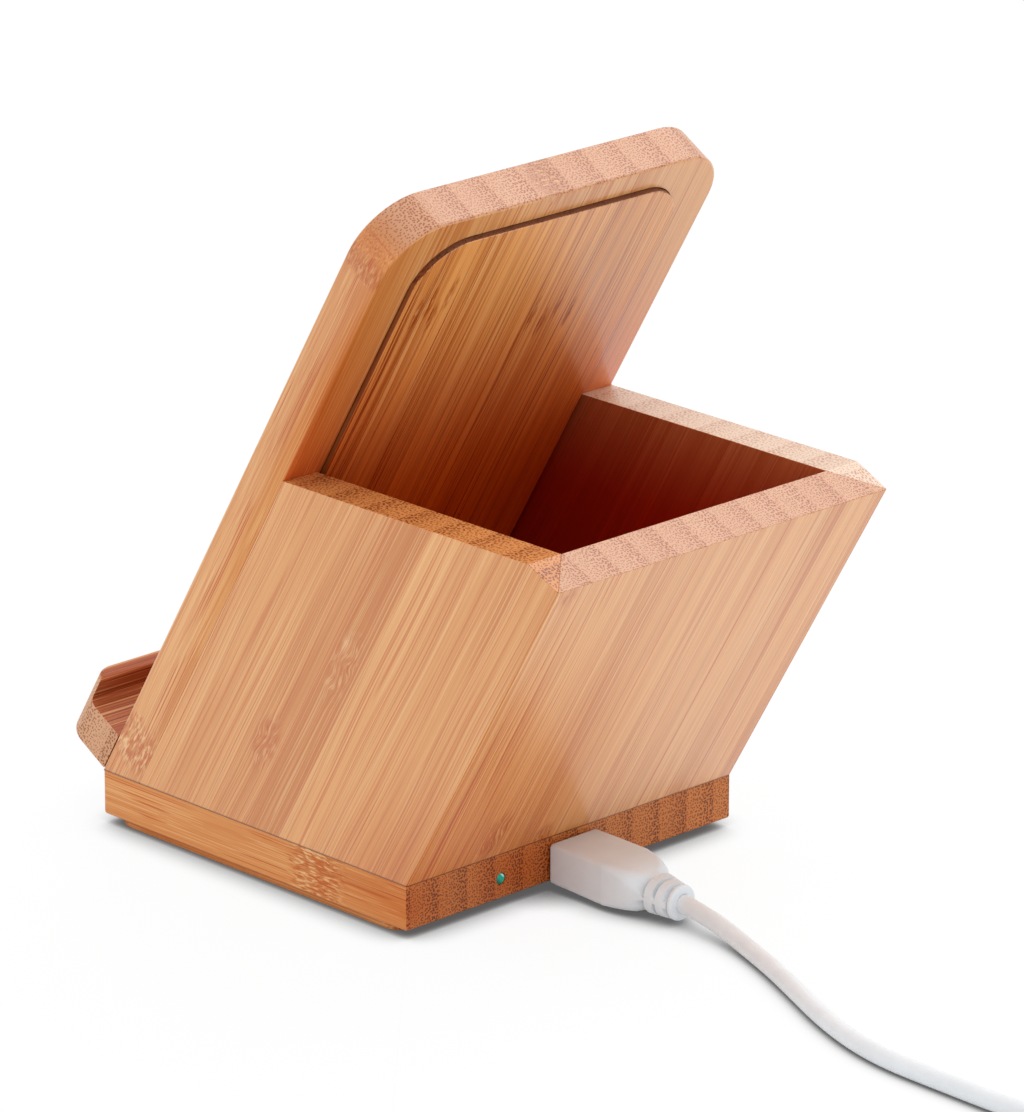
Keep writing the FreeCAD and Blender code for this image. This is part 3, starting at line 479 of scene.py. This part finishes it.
class Finish:
    def __init__(self, name):
        self.material = bpy.data.materials.new(name)
        self.material.use_nodes = True
        self.tree = self.material.node_tree
        self.shader = self.tree.nodes["Principled BSDF"]
        self.place = self.add("TexCoord").outputs["Object"]

    def add(self, kind, **settings):
        made = self.tree.nodes.new("ShaderNode" + kind)
        for name, value in settings.items():
            setattr(made, name, value)
        return made

    def feed(self, socket, value):
        if isinstance(value, bpy.types.NodeSocket):
            self.tree.links.new(value, socket)
        else:
            socket.default_value = value

    def math(self, operation, first, second=0.0, third=0.0):
        made = self.add("Math", operation=operation)
        for socket, given in zip(made.inputs, (first, second, third)):
            self.feed(socket, given)
        return made.outputs[0]

    def times(self, first, second):
        return self.math("MULTIPLY", first, second)

    def plus(self, first, second):
        return self.math("ADD", first, second)

    def minus(self, first, second):
        return self.math("SUBTRACT", first, second)

    def most(self, first, second):
        return self.math("MAXIMUM", first, second)

    def least(self, first, second):
        return self.math("MINIMUM", first, second)

    def ramp(self, value, rise, start):
        return self.math("MULTIPLY_ADD", value, rise, start)

    def distance(self, value, middle):
        return self.math("ABSOLUTE", self.minus(value, middle))

    def step(self, value, start, end, low=0.0, high=1.0):
        """A smooth step from low to high as the value goes from start to end."""
        made = self.add("MapRange", interpolation_type="SMOOTHSTEP")
        for socket, given in zip(made.inputs, (value, start, end, low, high)):
            self.feed(socket, given)
        return made.outputs[0]

    def mix(self, share, first, second, blend="MIX"):
        made = self.add("Mix", data_type="RGBA", blend_type=blend, clamp_factor=True)
        self.feed(made.inputs[0], share)
        self.feed(made.inputs[6], first)
        self.feed(made.inputs[7], second)
        return made.outputs[2]

    def vector_math(self, operation, first, second=(0.0, 0.0, 0.0)):
        made = self.add("VectorMath", operation=operation)
        self.feed(made.inputs[0], first)
        self.feed(made.inputs[1], second)
        return made

    def scaled(self, vector, *rates):
        return self.vector_math("MULTIPLY", vector, rates).outputs[0]

    def moved(self, vector, other):
        return self.vector_math("ADD", vector, other).outputs[0]

    def away(self, vector, other):
        return self.vector_math("SUBTRACT", vector, other).outputs[0]

    def length(self, vector):
        return self.vector_math("LENGTH", vector).outputs["Value"]

    def vector(self, *parts):
        made = self.add("CombineXYZ")
        for socket, given in zip(made.inputs, parts):
            self.feed(socket, given)
        return made.outputs[0]

    def parts(self, vector):
        made = self.add("SeparateXYZ")
        self.feed(made.inputs[0], vector)
        return made.outputs[0], made.outputs[1], made.outputs[2]

    def in_mm(self):
        return self.scaled(self.place, 1 / mm, 1 / mm, 1 / mm)

    def noise(self, vector, detail, kind="Fac"):
        made = self.add("TexNoise")
        self.feed(made.inputs["Vector"], vector)
        made.inputs["Scale"].default_value = 1.0
        made.inputs["Detail"].default_value = detail
        return made.outputs[kind]

    def grains(self, vector, sizes, detail):
        """Noise in grains of about the given sizes."""
        return self.noise(self.scaled(vector, *[1 / size for size in sizes]), detail)

    def drift(self, vector, sizes, *reach):
        """A push to either side that changes over about the given sizes."""
        push = self.noise(self.scaled(vector, *[1 / size for size in sizes]), 1.0, "Color")
        return self.scaled(self.away(push, (0.5, 0.5, 0.5)), *reach)

    def facing(self, direction):
        """How much a face looks along a direction, either way."""
        normal = self.add("NewGeometry").outputs["Normal"]
        return self.math("ABSOLUTE", self.vector_math("DOT_PRODUCT", normal, direction).outputs["Value"])

    def bump(self, height, distance, strength):
        made = self.add("Bump")
        made.inputs["Strength"].default_value = strength
        made.inputs["Distance"].default_value = distance
        self.feed(made.inputs["Height"], height)
        self.feed(self.shader.inputs["Normal"], made.outputs[0])

    def surface(self, colour, roughness, **others):
        self.feed(self.shader.inputs["Base Color"], colour)
        self.feed(self.shader.inputs["Roughness"], roughness)
        for name, value in others.items():
            self.shader.inputs[name.replace("_", " ")].default_value = value
        return self.material


# Bamboo: strips glued side by side, each with fibre bundles that are streaks along it and dots across its end

def board_place(finish, leaning):
    """A place in millimetres: across, inwards and up the slope on a leaning board, plain on a level one."""
    made = finish.add("Mapping")
    finish.feed(made.inputs["Vector"], finish.place)
    made.inputs["Scale"].default_value = (1 / mm, 1 / mm, 1 / mm)
    if leaning:
        made.inputs["Rotation"].default_value = (lean, 0, 0)
        made.inputs["Location"].default_value = grain_turn @ Vector((0, -front_y, -base_top)) / mm
    return finish.parts(made.outputs[0])


def spots(finish, place, list_of_spots, core=0.4):
    """How far a place is inside any of some soft-edged spots, each given by its centre and half its size."""
    share = 0.0
    for centre, half in list_of_spots:
        reach = finish.length(finish.vector_math("DIVIDE", finish.away(place, centre), half).outputs[0])
        share = finish.most(share, finish.step(reach, 1.0, core))
    return share


def bamboo(name, axes, leaning, strip, border, seed, tones, gloss=1.0, specular=0.3, spacing=bundle_spacing,
           swirl=3.4, crowd=0.0, contrast=1.0, knots=(), clumps=(), patches=(), dark_strips=(), dark_lines=(),
           painted_shade=(), dull=(), edge_shade_tone=None, painted_well_shade=None):
    """Bamboo for one board. axes names its directions across its strips, through them and along the grain."""
    finish = Finish(name)
    named = dict(zip("xyz", board_place(finish, leaning)))
    place = finish.vector(*[named[axis] for axis in axes])
    across = named[axes[0]]
    height = finish.parts(finish.place)[2]
    grain = Vector([1.0 if axis == axes[2] else 0.0 for axis in "xyz"])
    if leaning:
        grain = grain_turn.transposed() @ grain
    end_share = finish.step(finish.facing(grain), 0.35, 0.8)
    knotted = list(knots) + list(clumps)

    # Strips
    strip_place = finish.math("DIVIDE", finish.minus(across, border), strip)
    within = finish.math("FRACT", strip_place)
    draw = finish.add("TexWhiteNoise", noise_dimensions="1D")
    finish.feed(draw.inputs["W"], finish.plus(finish.math("FLOOR", strip_place), seed))
    shuffle = draw.outputs["Color"]
    chance, other_chance, third_chance = finish.parts(shuffle)
    edge = finish.times(finish.least(within, finish.minus(1.0, within)), strip)
    glue = finish.step(edge, glue_line, glue_line / 4)
    crowding = finish.step(within, 0.85, 0.0)

    # Fibre bundles wander a little, and swerve at a knot
    wander = finish.drift(place, wander_size, *wander_reach)
    bundle_line = finish.moved(place, finish.scaled(wander, 0.25, 0.0, 0.0))
    bundle_place = finish.moved(finish.moved(place, wander), finish.scaled(shuffle, 40.0, 40.0, 0.0))
    if knotted:
        knot = spots(finish, place, knotted)
        swerve = finish.vector_math("SCALE", finish.drift(place, swerve_size, swirl, swerve_depth, 0.0))
        finish.feed(swerve.inputs["Scale"], knot)
        pushed = swerve.outputs[0]
        bundle_place = finish.moved(bundle_place, pushed)
    cell_place = finish.scaled(bundle_place, 1 / spacing, 1 / spacing, 0.0)
    bundles = finish.add("TexVoronoi", voronoi_dimensions="2D", feature="F1")
    finish.feed(bundles.inputs["Vector"], cell_place)
    bundles.inputs["Scale"].default_value = 1.0
    bundles.inputs["Randomness"].default_value = bundle_scatter
    reach = bundles.outputs["Distance"]
    vigour, paleness = finish.parts(bundles.outputs["Color"])[:2]
    lit_side_offset = finish.away(finish.away(cell_place, bundles.outputs["Position"]), (0.36, 0.0, 0.0))

    # Long grain: broad and fine changes of tone, dark streaks, pale hairs and a painted highlight beside each
    # streak
    silk = finish.grains(place, silk_size, 2.0)
    broad = finish.grains(place, broad_size, 2.0)
    threads = finish.grains(bundle_place, thread_size, 0.0)
    tone = finish.times(chance, 0.65)
    tone = finish.plus(tone, finish.times(finish.minus(broad, 0.5), 1.3 * contrast))
    tone = finish.plus(tone, finish.times(finish.minus(silk, 0.5), 0.8 * contrast))
    for middle, half, amount in dark_strips:
        off = finish.distance(across, middle)
        tone = finish.plus(tone, finish.step(off, half + 0.2, half - 0.2, 0.0, amount))
    boldness = finish.times(finish.times(vigour, vigour), finish.ramp(third_chance, 0.9, 0.25))
    if knotted:
        tone = finish.plus(tone, finish.times(knot, 0.6))
        boldness = finish.most(boldness, finish.times(knot, 0.9))
    long_colour = finish.mix(finish.most(tone, 0.0), tones["pale"], tones["deep"])
    streak = finish.times(finish.step(reach, 0.3, 0.12), boldness)
    fine = finish.times(finish.step(threads, 0.6, 0.68), finish.ramp(other_chance, 0.5, 0.2))
    streak = finish.least(finish.times(finish.most(streak, fine), contrast), 1.0)
    long_colour = finish.mix(finish.times(streak, 0.9), long_colour, tones["streak"])
    # Painted highlight: a pale line just to one side of each dark streak, as on the lit side of a groove;
    # real pale threads are added to it.
    hair_and_lit_edge = finish.times(finish.step(finish.length(lit_side_offset), 0.2, 0.06), paleness)
    pale_thread = finish.step(threads, 0.38, 0.31, 0.0, 0.4)
    hair_and_lit_edge = finish.most(finish.times(hair_and_lit_edge, 0.55), pale_thread)
    long_colour = finish.mix(hair_and_lit_edge, long_colour, tones["hair_and_lit_edge"])

    # End grain: dots that crowd towards one side of each strip
    dot_edge = finish.ramp(crowding, 0.12, 0.3 + crowd)
    dot = finish.step(reach, dot_edge, finish.minus(dot_edge, 0.18))
    ground_tone = finish.plus(finish.times(crowding, 0.4), finish.times(finish.minus(chance, 0.5), 0.4))
    ground_tone = finish.most(finish.plus(ground_tone, finish.minus(silk, 0.5)), 0.0)
    end_colour = finish.mix(ground_tone, tones["end pale"], tones["end deep"])
    dot_share = finish.times(dot, finish.ramp(crowding, 0.15, 0.75))
    end_colour = finish.mix(dot_share, end_colour, tones["end dot"])

    # Short dashes in knots and clumps, and pale patches
    if knotted:
        dashes = finish.grains(finish.moved(place, pushed), dash_size, 1.0)
        dark_dash = finish.step(dashes, 0.45, 0.36)
        pale_dash = finish.step(dashes, 0.55, 0.64)
        clump = spots(finish, place, clumps)
        for share, dark, pale in ((knot, 0.5, 0.35), (clump, 0.6, 0.6)):
            dark_share = finish.times(finish.times(share, dark_dash), dark)
            pale_share = finish.times(finish.times(share, pale_dash), pale)
            long_colour = finish.mix(dark_share, long_colour, tones["streak"])
            long_colour = finish.mix(pale_share, long_colour, tones["hair_and_lit_edge"])
    if clumps:
        slits = finish.grains(place, slit_size, 1.0)
        slit_share = finish.times(finish.times(clump, 0.4), finish.step(slits, 0.58, 0.68))
        end_colour = finish.mix(finish.times(clump, 0.35), end_colour, tones["end dot"])
        end_colour = finish.mix(slit_share, end_colour, tones["hair_and_lit_edge"])
    if patches:
        ragged = finish.times(spots(finish, place, patches), finish.step(threads, 0.3, 0.6, 0.45, 0.0))
        long_colour = finish.mix(ragged, long_colour, tones["hair_and_lit_edge"])

    # Both grains together, with glue lines, dark lines, the seam on the base, and painted shade on the
    # cover's edges, in listed spots and down the well
    colour = finish.mix(end_share, long_colour, end_colour)
    glue_share = finish.step(end_share, 0.0, 1.0, glue_on_long_grain, glue_on_end_grain)
    colour = finish.mix(finish.times(glue, glue_share), colour, tones["streak"])
    for middle, half, amount in dark_lines:
        off = finish.distance(finish.parts(bundle_line)[0], middle)
        line = finish.times(finish.step(off, half, half / 3, 0.0, amount), finish.step(end_share, 1.0, 0.0))
        colour = finish.mix(line, colour, tones["streak"])
    if leaning:
        seam = finish.step(height, seam_top, seam_bottom, 0.0, seam_share)
        colour = finish.mix(seam, colour, tones["seam"])
    # Painted shade on the cover's edge faces, as though they sat in the shade of the step.
    if edge_shade_tone:
        edge_shade_share = finish.step(finish.facing(inwards_direction), 0.8, 0.4)
        colour = finish.mix(edge_shade_share, colour, edge_shade_tone, "MULTIPLY")
    # Painted shade: listed spots are multiplied by a darker, more orange tone.
    if painted_shade:
        colour = finish.mix(spots(finish, place, painted_shade, 0.0), colour, tones["painted_shade"], "MULTIPLY")
    # Painted shade down the well: inner faces turn darker and redder towards its bottom.
    if painted_well_shade:
        axis, start, end, top, bottom, well_shade_tone = painted_well_shade
        direction = Vector((1, 0, 0)) if axis == "x" else inwards_direction
        turned_in = finish.step(finish.facing(direction), 0.5, 0.9)
        inside = finish.times(finish.step(named[axis], start, end), turned_in)
        depth = finish.step(height, rim_z + top * mm, rim_z + bottom * mm)
        colour = finish.mix(finish.times(inside, depth), colour, well_shade_tone, "MULTIPLY")

    # Relief and lacquer
    dip = finish.ramp(end_share, finish.times(dot, -0.5), finish.times(streak, -0.6))
    finish.bump(finish.ramp(silk, 0.4, dip), grain_depth, grain_strength)
    coat = finish.step(end_share, 0.0, 1.0, gloss, gloss * end_gloss)
    if dull:
        coat = finish.times(coat, finish.step(spots(finish, place, dull, 0.1), 1.0, 0.0))
    finish.feed(finish.shader.inputs["Coat Weight"], coat)
    return finish.surface(colour, finish.step(silk, 0.3, 0.7, 0.34, 0.44), Coat_Roughness=lacquer_roughness,
                          Specular_IOR_Level=specular)


def bamboo_tones():
    # painted_shade is the tint that spots of painted shade are multiplied by.
    wall = {"pale": tint(228, 163, 98), "deep": tint(202, 126, 60), "streak": tint(192, 90, 16),
            "hair_and_lit_edge": tint(242, 196, 140), "painted_shade": tint(235, 196, 140), "seam": tint(96, 42, 14),
            "end pale": tint(212, 138, 78), "end deep": tint(192, 114, 60), "end dot": tint(112, 48, 14)}
    # Lit copy: paler, pinker end grain as a painted sheen on the panel's top edge and the back rim; the cover
    # inherits it.
    painted_sheen = dict(wall)
    painted_sheen.update({"end pale": tint(206, 153, 119), "end deep": tint(194, 137, 102),
                   "end dot": tint(155, 86, 52)})
    # Lit copy for the far wall: paler end grain as a painted sheen on its rim.
    far_painted_sheen = dict(wall)
    far_painted_sheen.update({"end pale": tint(224, 195, 171), "end deep": tint(214, 178, 153),
                "end dot": tint(180, 128, 98)})
    inlay = dict(painted_sheen)
    inlay.update({"pale": tint(242, 168, 92), "deep": tint(198, 112, 42), "streak": tint(150, 62, 8)})
    base = dict(wall)
    base.update({"pale": tint(218, 146, 82), "deep": tint(192, 112, 50), "end pale": tint(202, 122, 64),
                 "end deep": tint(182, 100, 48), "end dot": tint(104, 50, 22)})
    # Shaded copy: darker long grain as painted shade on the ledge behind the panel.
    ledge = dict(wall)
    ledge.update({"pale": tint(178, 100, 60), "deep": tint(148, 68, 38), "streak": tint(110, 44, 22),
                  "end pale": tint(214, 164, 128), "end deep": tint(198, 144, 108),
                  "end dot": tint(150, 92, 62)})
    return wall, painted_sheen, far_painted_sheen, inlay, base, ledge


def bamboo_finishes():
    """Each board's bamboo, with its knots and shades where the photograph has them, in millimetres."""
    wall, painted_sheen, far_painted_sheen, inlay, base, ledge = bamboo_tones()
    # Tints of painted shade for the well's inner faces.
    panel_well_shade = tint(250, 150, 34)
    wall_well_shade = tint(182, 48, 8)
    upright = dict(axes="xyz", leaning=True)
    side = dict(axes="yxz", leaning=True)
    level = dict(axes="xzy", leaning=False)
    cover_knots = [(20.5, 123), (22.6, 118), (24.8, 122), (27, 120),
                   (-5, 111), (-8.5, 108), (-11, 112), (-15, 109)]
    return {
        "charging_panel": bamboo(
            "panel bamboo", strip=7.95, border=-1.3, seed=3.0, tones=painted_sheen, contrast=1.35, spacing=0.52,
            crowd=0.03,
            painted_well_shade=("y", 7.6, 8.4, 40, -20, panel_well_shade),
            painted_shade=[((44, 9, 110), (18, 6, 60)), ((44, 4, 136), (14, 14, 13))],
            knots=[((41, 5, 130), (3, 9, 3.4))],
            dull=[((46, 9, 80), (30, 8, 100))],
            clumps=[((2.6, 4.3, 141), (4.4, 7, 6)), ((41, 4, 11), (5, 9, 7))],
            **upright),
        "coil_cover": bamboo(
            "cover bamboo", strip=7.5, border=-3.7, seed=11.0, tones=inlay, contrast=1.7, swirl=1.0,
            gloss=0.9, edge_shade_tone=tint(150, 120, 100),
            painted_well_shade=("y", 7.6, 8.4, 40, -20, panel_well_shade),
            dull=[((40, 9, 80), (74, 11, 130))],
            knots=[((x, 9.6, up), (1.1, 4, 5)) for x, up in cover_knots],
            **upright),
        "back_wall": bamboo(
            "back wall bamboo", strip=6.85, border=-16.2, seed=21.0, tones=painted_sheen, contrast=1.3, spacing=0.52,
            crowd=0.03,
            painted_well_shade=("y", 61.8, 61.2, 34, -20, wall_well_shade),
            painted_shade=[((46, 69, 36), (74, 12, 66))],
            dull=[((54, 69, 40), (90, 20, 110))],
            dark_lines=[(-16, 0.3, 0.8), (-29, 0.3, 0.7), (10.7, 0.22, 0.5), (4.2, 0.22, 0.5),
                        (-9, 0.2, 0.3)],
            knots=[((22, 69, 47), (4, 4, 8)), ((8, 69, 42), (3, 4, 4)), ((37, 66, 112), (4, 6, 4))],
            **upright),
        "right_side_wall": bamboo(
            "right wall bamboo", strip=7.45, border=25.6, seed=31.0, tones=wall, contrast=1.35, crowd=0.04,
            painted_well_shade=("x", 33.2, 32.4, 34, -20, wall_well_shade),
            painted_shade=[((72, 40, 34), (28, 5, 40))],
            dull=[((30, 36, 112), (44, 6, 38))],
            dark_lines=[(8.2, 0.3, 0.6)],
            dark_strips=[(36.8, 3.7, 0.6), (29.3, 3.7, 0.3)],
            knots=[((29.2, 40, 37), (3.8, 4, 8)), ((36.8, 40, 64), (3.8, 4, 11))],
            patches=[((30.3, 40, 33), (2.0, 4, 2.4)), ((36.4, 40, 68), (2.6, 4, 3))],
            **side),
        "left_side_wall": bamboo(
            "left wall bamboo", strip=7.45, border=25.6, seed=44.0, tones=far_painted_sheen,
            painted_well_shade=("x", -33.2, -32.4, 34, -20, wall_well_shade),
            dull=[((35, -32, 60), (90, 4, 110))],
            **side),
        "base_board": bamboo(
            "base bamboo", strip=6.8, border=-15.3, seed=52.0, tones=base, gloss=0.1, specular=0.22,
            spacing=0.52, crowd=0.06,
            painted_shade=[((42, 6, 42), (20, 10, 34)), ((13, 6, 42), (20, 12, 16))],
            clumps=[((41, 6, 17), (5, 14, 9))],
            **level),
        "bottom_cover": bamboo(
            "bottom bamboo", strip=6.8, border=-12.0, seed=63.0, tones=base, gloss=0.1, specular=0.2,
            **level),
        "phone_ledge": bamboo(
            "ledge bamboo", axes="yzx", leaning=True, strip=7.0, border=-9.0, seed=71.0, tones=ledge,
            gloss=0.05, specular=0.1, contrast=1.5),
    }


# Other finishes

def moulded(name, colour, dark, roughness):
    """Plain moulded plastic with a fine, slightly uneven surface."""
    finish = Finish(name)
    place = finish.in_mm()
    clouds = finish.grains(place, [cloud_size] * 3, 2.0)
    specks = finish.grains(place, [speck_size] * 3, 1.0)
    finish.bump(specks, 0.00002, 0.5)
    shift = finish.plus(finish.times(clouds, 0.6), finish.times(specks, 0.4))
    return finish.surface(finish.mix(finish.step(shift, 0.35, 0.65), dark, colour),
                          finish.step(specks, 0.3, 0.7, roughness - 0.05, roughness + 0.05))


def metal(name, colour, dark, roughness):
    """Plated metal with fine drawn lines."""
    finish = Finish(name)
    place = finish.in_mm()
    lines = finish.noise(finish.scaled(place, 9, 0.5, 9), 2.0)
    clouds = finish.noise(finish.scaled(place, 0.6, 0.6, 0.6), 2.0)
    finish.bump(lines, 0.00001, 0.15)
    shift = finish.plus(finish.times(lines, 0.5), finish.times(clouds, 0.5))
    return finish.surface(finish.mix(finish.step(shift, 0.3, 0.7), dark, colour),
                          finish.step(lines, 0.3, 0.7, roughness - 0.08, roughness + 0.08), Metallic=1.0)


def lamp_lens():
    """The clear green window of the status light, lit from behind, with a painted highlight at its upper
    right, painted shade at its lower left and painted shade round its rim.
    """
    finish = Finish("lamp lens")
    low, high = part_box("led_window")
    half = (high.z - low.z) / 2
    middle = (low + high) / 2
    off = finish.scaled(finish.away(finish.place, middle), 1 / half, 0.0, 1 / half)
    # Painted light: the lens darkens towards its lower left and carries a painted highlight at its upper
    # right.
    lit_slant = finish.vector_math("DOT_PRODUCT", off, (-0.7, 0.0, 0.7)).outputs["Value"]
    rings = finish.noise(finish.scaled(finish.place, 2500, 2500, 2500), 1.0)
    lit_slant = finish.plus(lit_slant, finish.times(finish.minus(rings, 0.5), 0.5))
    colour = finish.mix(finish.step(lit_slant, -0.7, 0.0), tint(0, 60, 52), tint(0, 158, 140))
    colour = finish.mix(finish.step(lit_slant, 0.4, 0.75), colour, tint(190, 250, 240))
    # Painted shade round the lens's rim.
    rim_shade = finish.step(finish.length(off), 0.72, 0.95)
    colour = finish.mix(rim_shade, colour, tint(0, 36, 30))
    finish.surface(colour, 0.2, Specular_IOR_Level=0.3)
    finish.shader.inputs["Emission Color"].default_value = tint(10, 170, 130)
    finish.shader.inputs["Emission Strength"].default_value = 0.15
    return finish.material


def strap_weave():
    """Hook and loop strap: a fine weave under short fuzz."""
    finish = Finish("strap weave")
    place = finish.in_mm()
    x, y, z = finish.parts(place)
    warp = finish.math("SINE", finish.times(y, 9.0))
    weft = finish.math("SINE", finish.times(finish.plus(x, z), 9.0))
    weave = finish.times(warp, weft)
    fuzz = finish.noise(finish.scaled(place, 7, 7, 7), 3.0)
    height = finish.plus(finish.times(weave, 0.4), fuzz)
    finish.bump(height, 0.00012, 0.8)
    colour = finish.mix(finish.step(height, 0.2, 0.9), tint(176, 176, 176), tint(226, 226, 226))
    return finish.surface(colour, 0.85, Sheen_Weight=0.4)


def solder_mask():
    """Green board with paler tracks under its varnish."""
    finish = Finish("solder mask")
    place = finish.in_mm()
    cells = finish.add("TexVoronoi", voronoi_dimensions="2D", feature="DISTANCE_TO_EDGE")
    finish.feed(cells.inputs["Vector"], finish.scaled(place, 0.45, 0.45, 0.0))
    cells.inputs["Scale"].default_value = 1.0
    cells.inputs["Randomness"].default_value = 0.35
    tracks = finish.step(cells.outputs["Distance"], 0.12, 0.07)
    finish.bump(tracks, 0.00003, 0.5)
    colour = finish.mix(tracks, tint(18, 74, 44), tint(38, 118, 70))
    return finish.surface(colour, finish.step(tracks, 0, 1, 0.35, 0.28))


def ceramic_caps():
    """Tan ceramic blocks with tinned ends."""
    finish = Finish("ceramic caps")
    low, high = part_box("resonance_capacitors")
    length = high.y - low.y
    reach = finish.distance(finish.parts(finish.place)[1], (low.y + high.y) / 2)
    ends = finish.step(reach, length * 0.30, length * 0.33)
    specks = finish.noise(finish.scaled(finish.place, 4000, 4000, 4000), 2.0)
    body = finish.mix(finish.step(specks, 0.35, 0.65), tint(168, 132, 92), tint(196, 160, 118))
    colour = finish.mix(ends, body, tint(205, 205, 208))
    return finish.surface(colour, finish.step(specks, 0.3, 0.7, 0.35, 0.5))


def enamelled_copper():
    finish = Finish("enamelled copper")
    place = finish.in_mm()
    strands = finish.noise(finish.scaled(place, 5, 5, 5), 2.0)
    finish.bump(strands, 0.00005, 0.6)
    colour = finish.mix(finish.step(strands, 0.35, 0.65), tint(168, 92, 48), tint(214, 134, 84))
    return finish.surface(colour, finish.step(strands, 0.3, 0.7, 0.25, 0.4), Metallic=1.0)


def raw_wood():
    finish = Finish("dowel wood")
    place = finish.in_mm()
    lines = finish.noise(finish.scaled(place, 3, 0.3, 0.3), 3.0)
    finish.bump(lines, 0.00004, 0.6)
    colour = finish.mix(finish.step(lines, 0.3, 0.7), tint(196, 160, 116), tint(224, 194, 150))
    return finish.surface(colour, 0.7)


def other_finishes():
    return {
        "dowel_wood": raw_wood(),
        "screw_steel": metal("screw steel", tint(205, 202, 194), tint(168, 164, 156), 0.34),
        "coil_copper": enamelled_copper(),
        "ferrite": moulded("ferrite", tint(92, 92, 95), tint(70, 70, 74), 0.6),
        "circuit_board": solder_mask(),
        "black_plastic": moulded("black plastic", tint(58, 58, 60), tint(44, 44, 46), 0.5),
        "capacitor_ceramic": ceramic_caps(),
        "led_package": moulded("lamp body", tint(236, 236, 230), tint(220, 220, 212), 0.4),
        "led_lens": lamp_lens(),
        "plug_steel": metal("plug steel", tint(222, 222, 224), tint(208, 208, 211), 0.25),
        "lead_plastic": moulded("lead plastic", tint(227, 233, 238), tint(222, 228, 233), 0.5),
        "cord_jacket": moulded("cord jacket", tint(226, 229, 232), tint(221, 224, 227), 0.45),
        "tie_strap": strap_weave(),
        "white_insert": moulded("white insert", tint(238, 238, 234), tint(228, 228, 224), 0.35),
    }


def dress(piece, material):
    piece.data.materials.clear()
    piece.data.materials.append(material)


# Floor, light and background

def floor_finish():
    """A white floor that keeps the shadow, darkest where something is close to it."""
    finish = Finish("floor")
    tree = finish.tree
    paths = finish.add("LightPath")
    seen = finish.most(paths.outputs["Is Camera Ray"], paths.outputs["Is Glossy Ray"])
    seen = finish.most(seen, paths.outputs["Is Transmission Ray"])
    finish.surface(floor_colour, 0.9, Specular_IOR_Level=0.0)
    close = finish.add("AmbientOcclusion", samples=16)
    close.inputs["Distance"].default_value = contact_reach
    glow = finish.add("Emission")
    finish.feed(glow.inputs["Strength"], finish.step(close.outputs["AO"], 0.15, 0.9, contact_darkest, 1.0))
    both = finish.add("MixShader")
    tree.links.new(finish.times(seen, floor_glow), both.inputs[0])
    tree.links.new(finish.shader.outputs[0], both.inputs[1])
    tree.links.new(glow.outputs[0], both.inputs[2])
    tree.links.new(both.outputs[0], tree.nodes["Material Output"].inputs["Surface"])
    return finish.material


def make_floor():
    deselect()
    bpy.ops.mesh.primitive_plane_add(size=floor_size, location=(0, 0, -floor_drop))
    floor = bpy.context.object
    floor.name = "floor"
    dress(floor, floor_finish())


def make_world():
    world = bpy.data.worlds.new("studio")
    bpy.context.scene.world = world
    world.use_nodes = True
    tree = world.node_tree
    paths = tree.nodes.new("ShaderNodeLightPath")
    strength = tree.nodes.new("ShaderNodeMapRange")
    tree.links.new(paths.outputs["Is Diffuse Ray"], strength.inputs[0])
    strength.inputs[3].default_value = sky_seen
    strength.inputs[4].default_value = sky_on_surfaces
    tree.links.new(strength.outputs[0], tree.nodes["Background"].inputs["Strength"])
    tree.nodes["Background"].inputs["Color"].default_value = (1, 1, 1, 1)


def soft_light(name, place, power):
    lamp = bpy.data.lights.new(name, "AREA")
    lamp.shape = "DISK"
    lamp.size = softbox_size
    lamp.energy = power
    light = bpy.data.objects.new(name, lamp)
    light.location = place
    aim = camera_target - Vector(place)
    light.rotation_euler = aim.to_track_quat("-Z", "Y").to_euler()
    bpy.context.scene.collection.objects.link(light)


# The object

place_camera()
cord = line_piece("cord", cord_route(), cord_radius, cord_roundness, cord_resolution)
plug = make_plug()
strap = make_tie()
winding = make_winding()

finishes = other_finishes()
slots = {row["node"]: row["material_slot"] for row in frame["record"]["subparts"]}
for node, slot in slots.items():
    if slot in finishes:
        dress(nodes[node], finishes[slot])
for node, material in bamboo_finishes().items():
    dress(nodes[node], material)
for piece, body, slot, stands_for in (
        (cord, "charging_lead", "cord_jacket", ("cord_run", "cord_coil", "cord_tail")),
        (plug, "charging_lead", "lead_plastic", ("plug_body",)),
        (strap, "charging_lead", "tie_strap", ("cord_tie",)),
        (winding, "holder", "coil_copper", ("charging_coil",))):
    dress(piece, finishes[slot])
    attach(piece, body)
    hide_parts(*stands_for)

make_floor()
make_world()
for box in softboxes:
    soft_light(*box)
bpy.context.scene.view_settings.view_transform = "Standard"
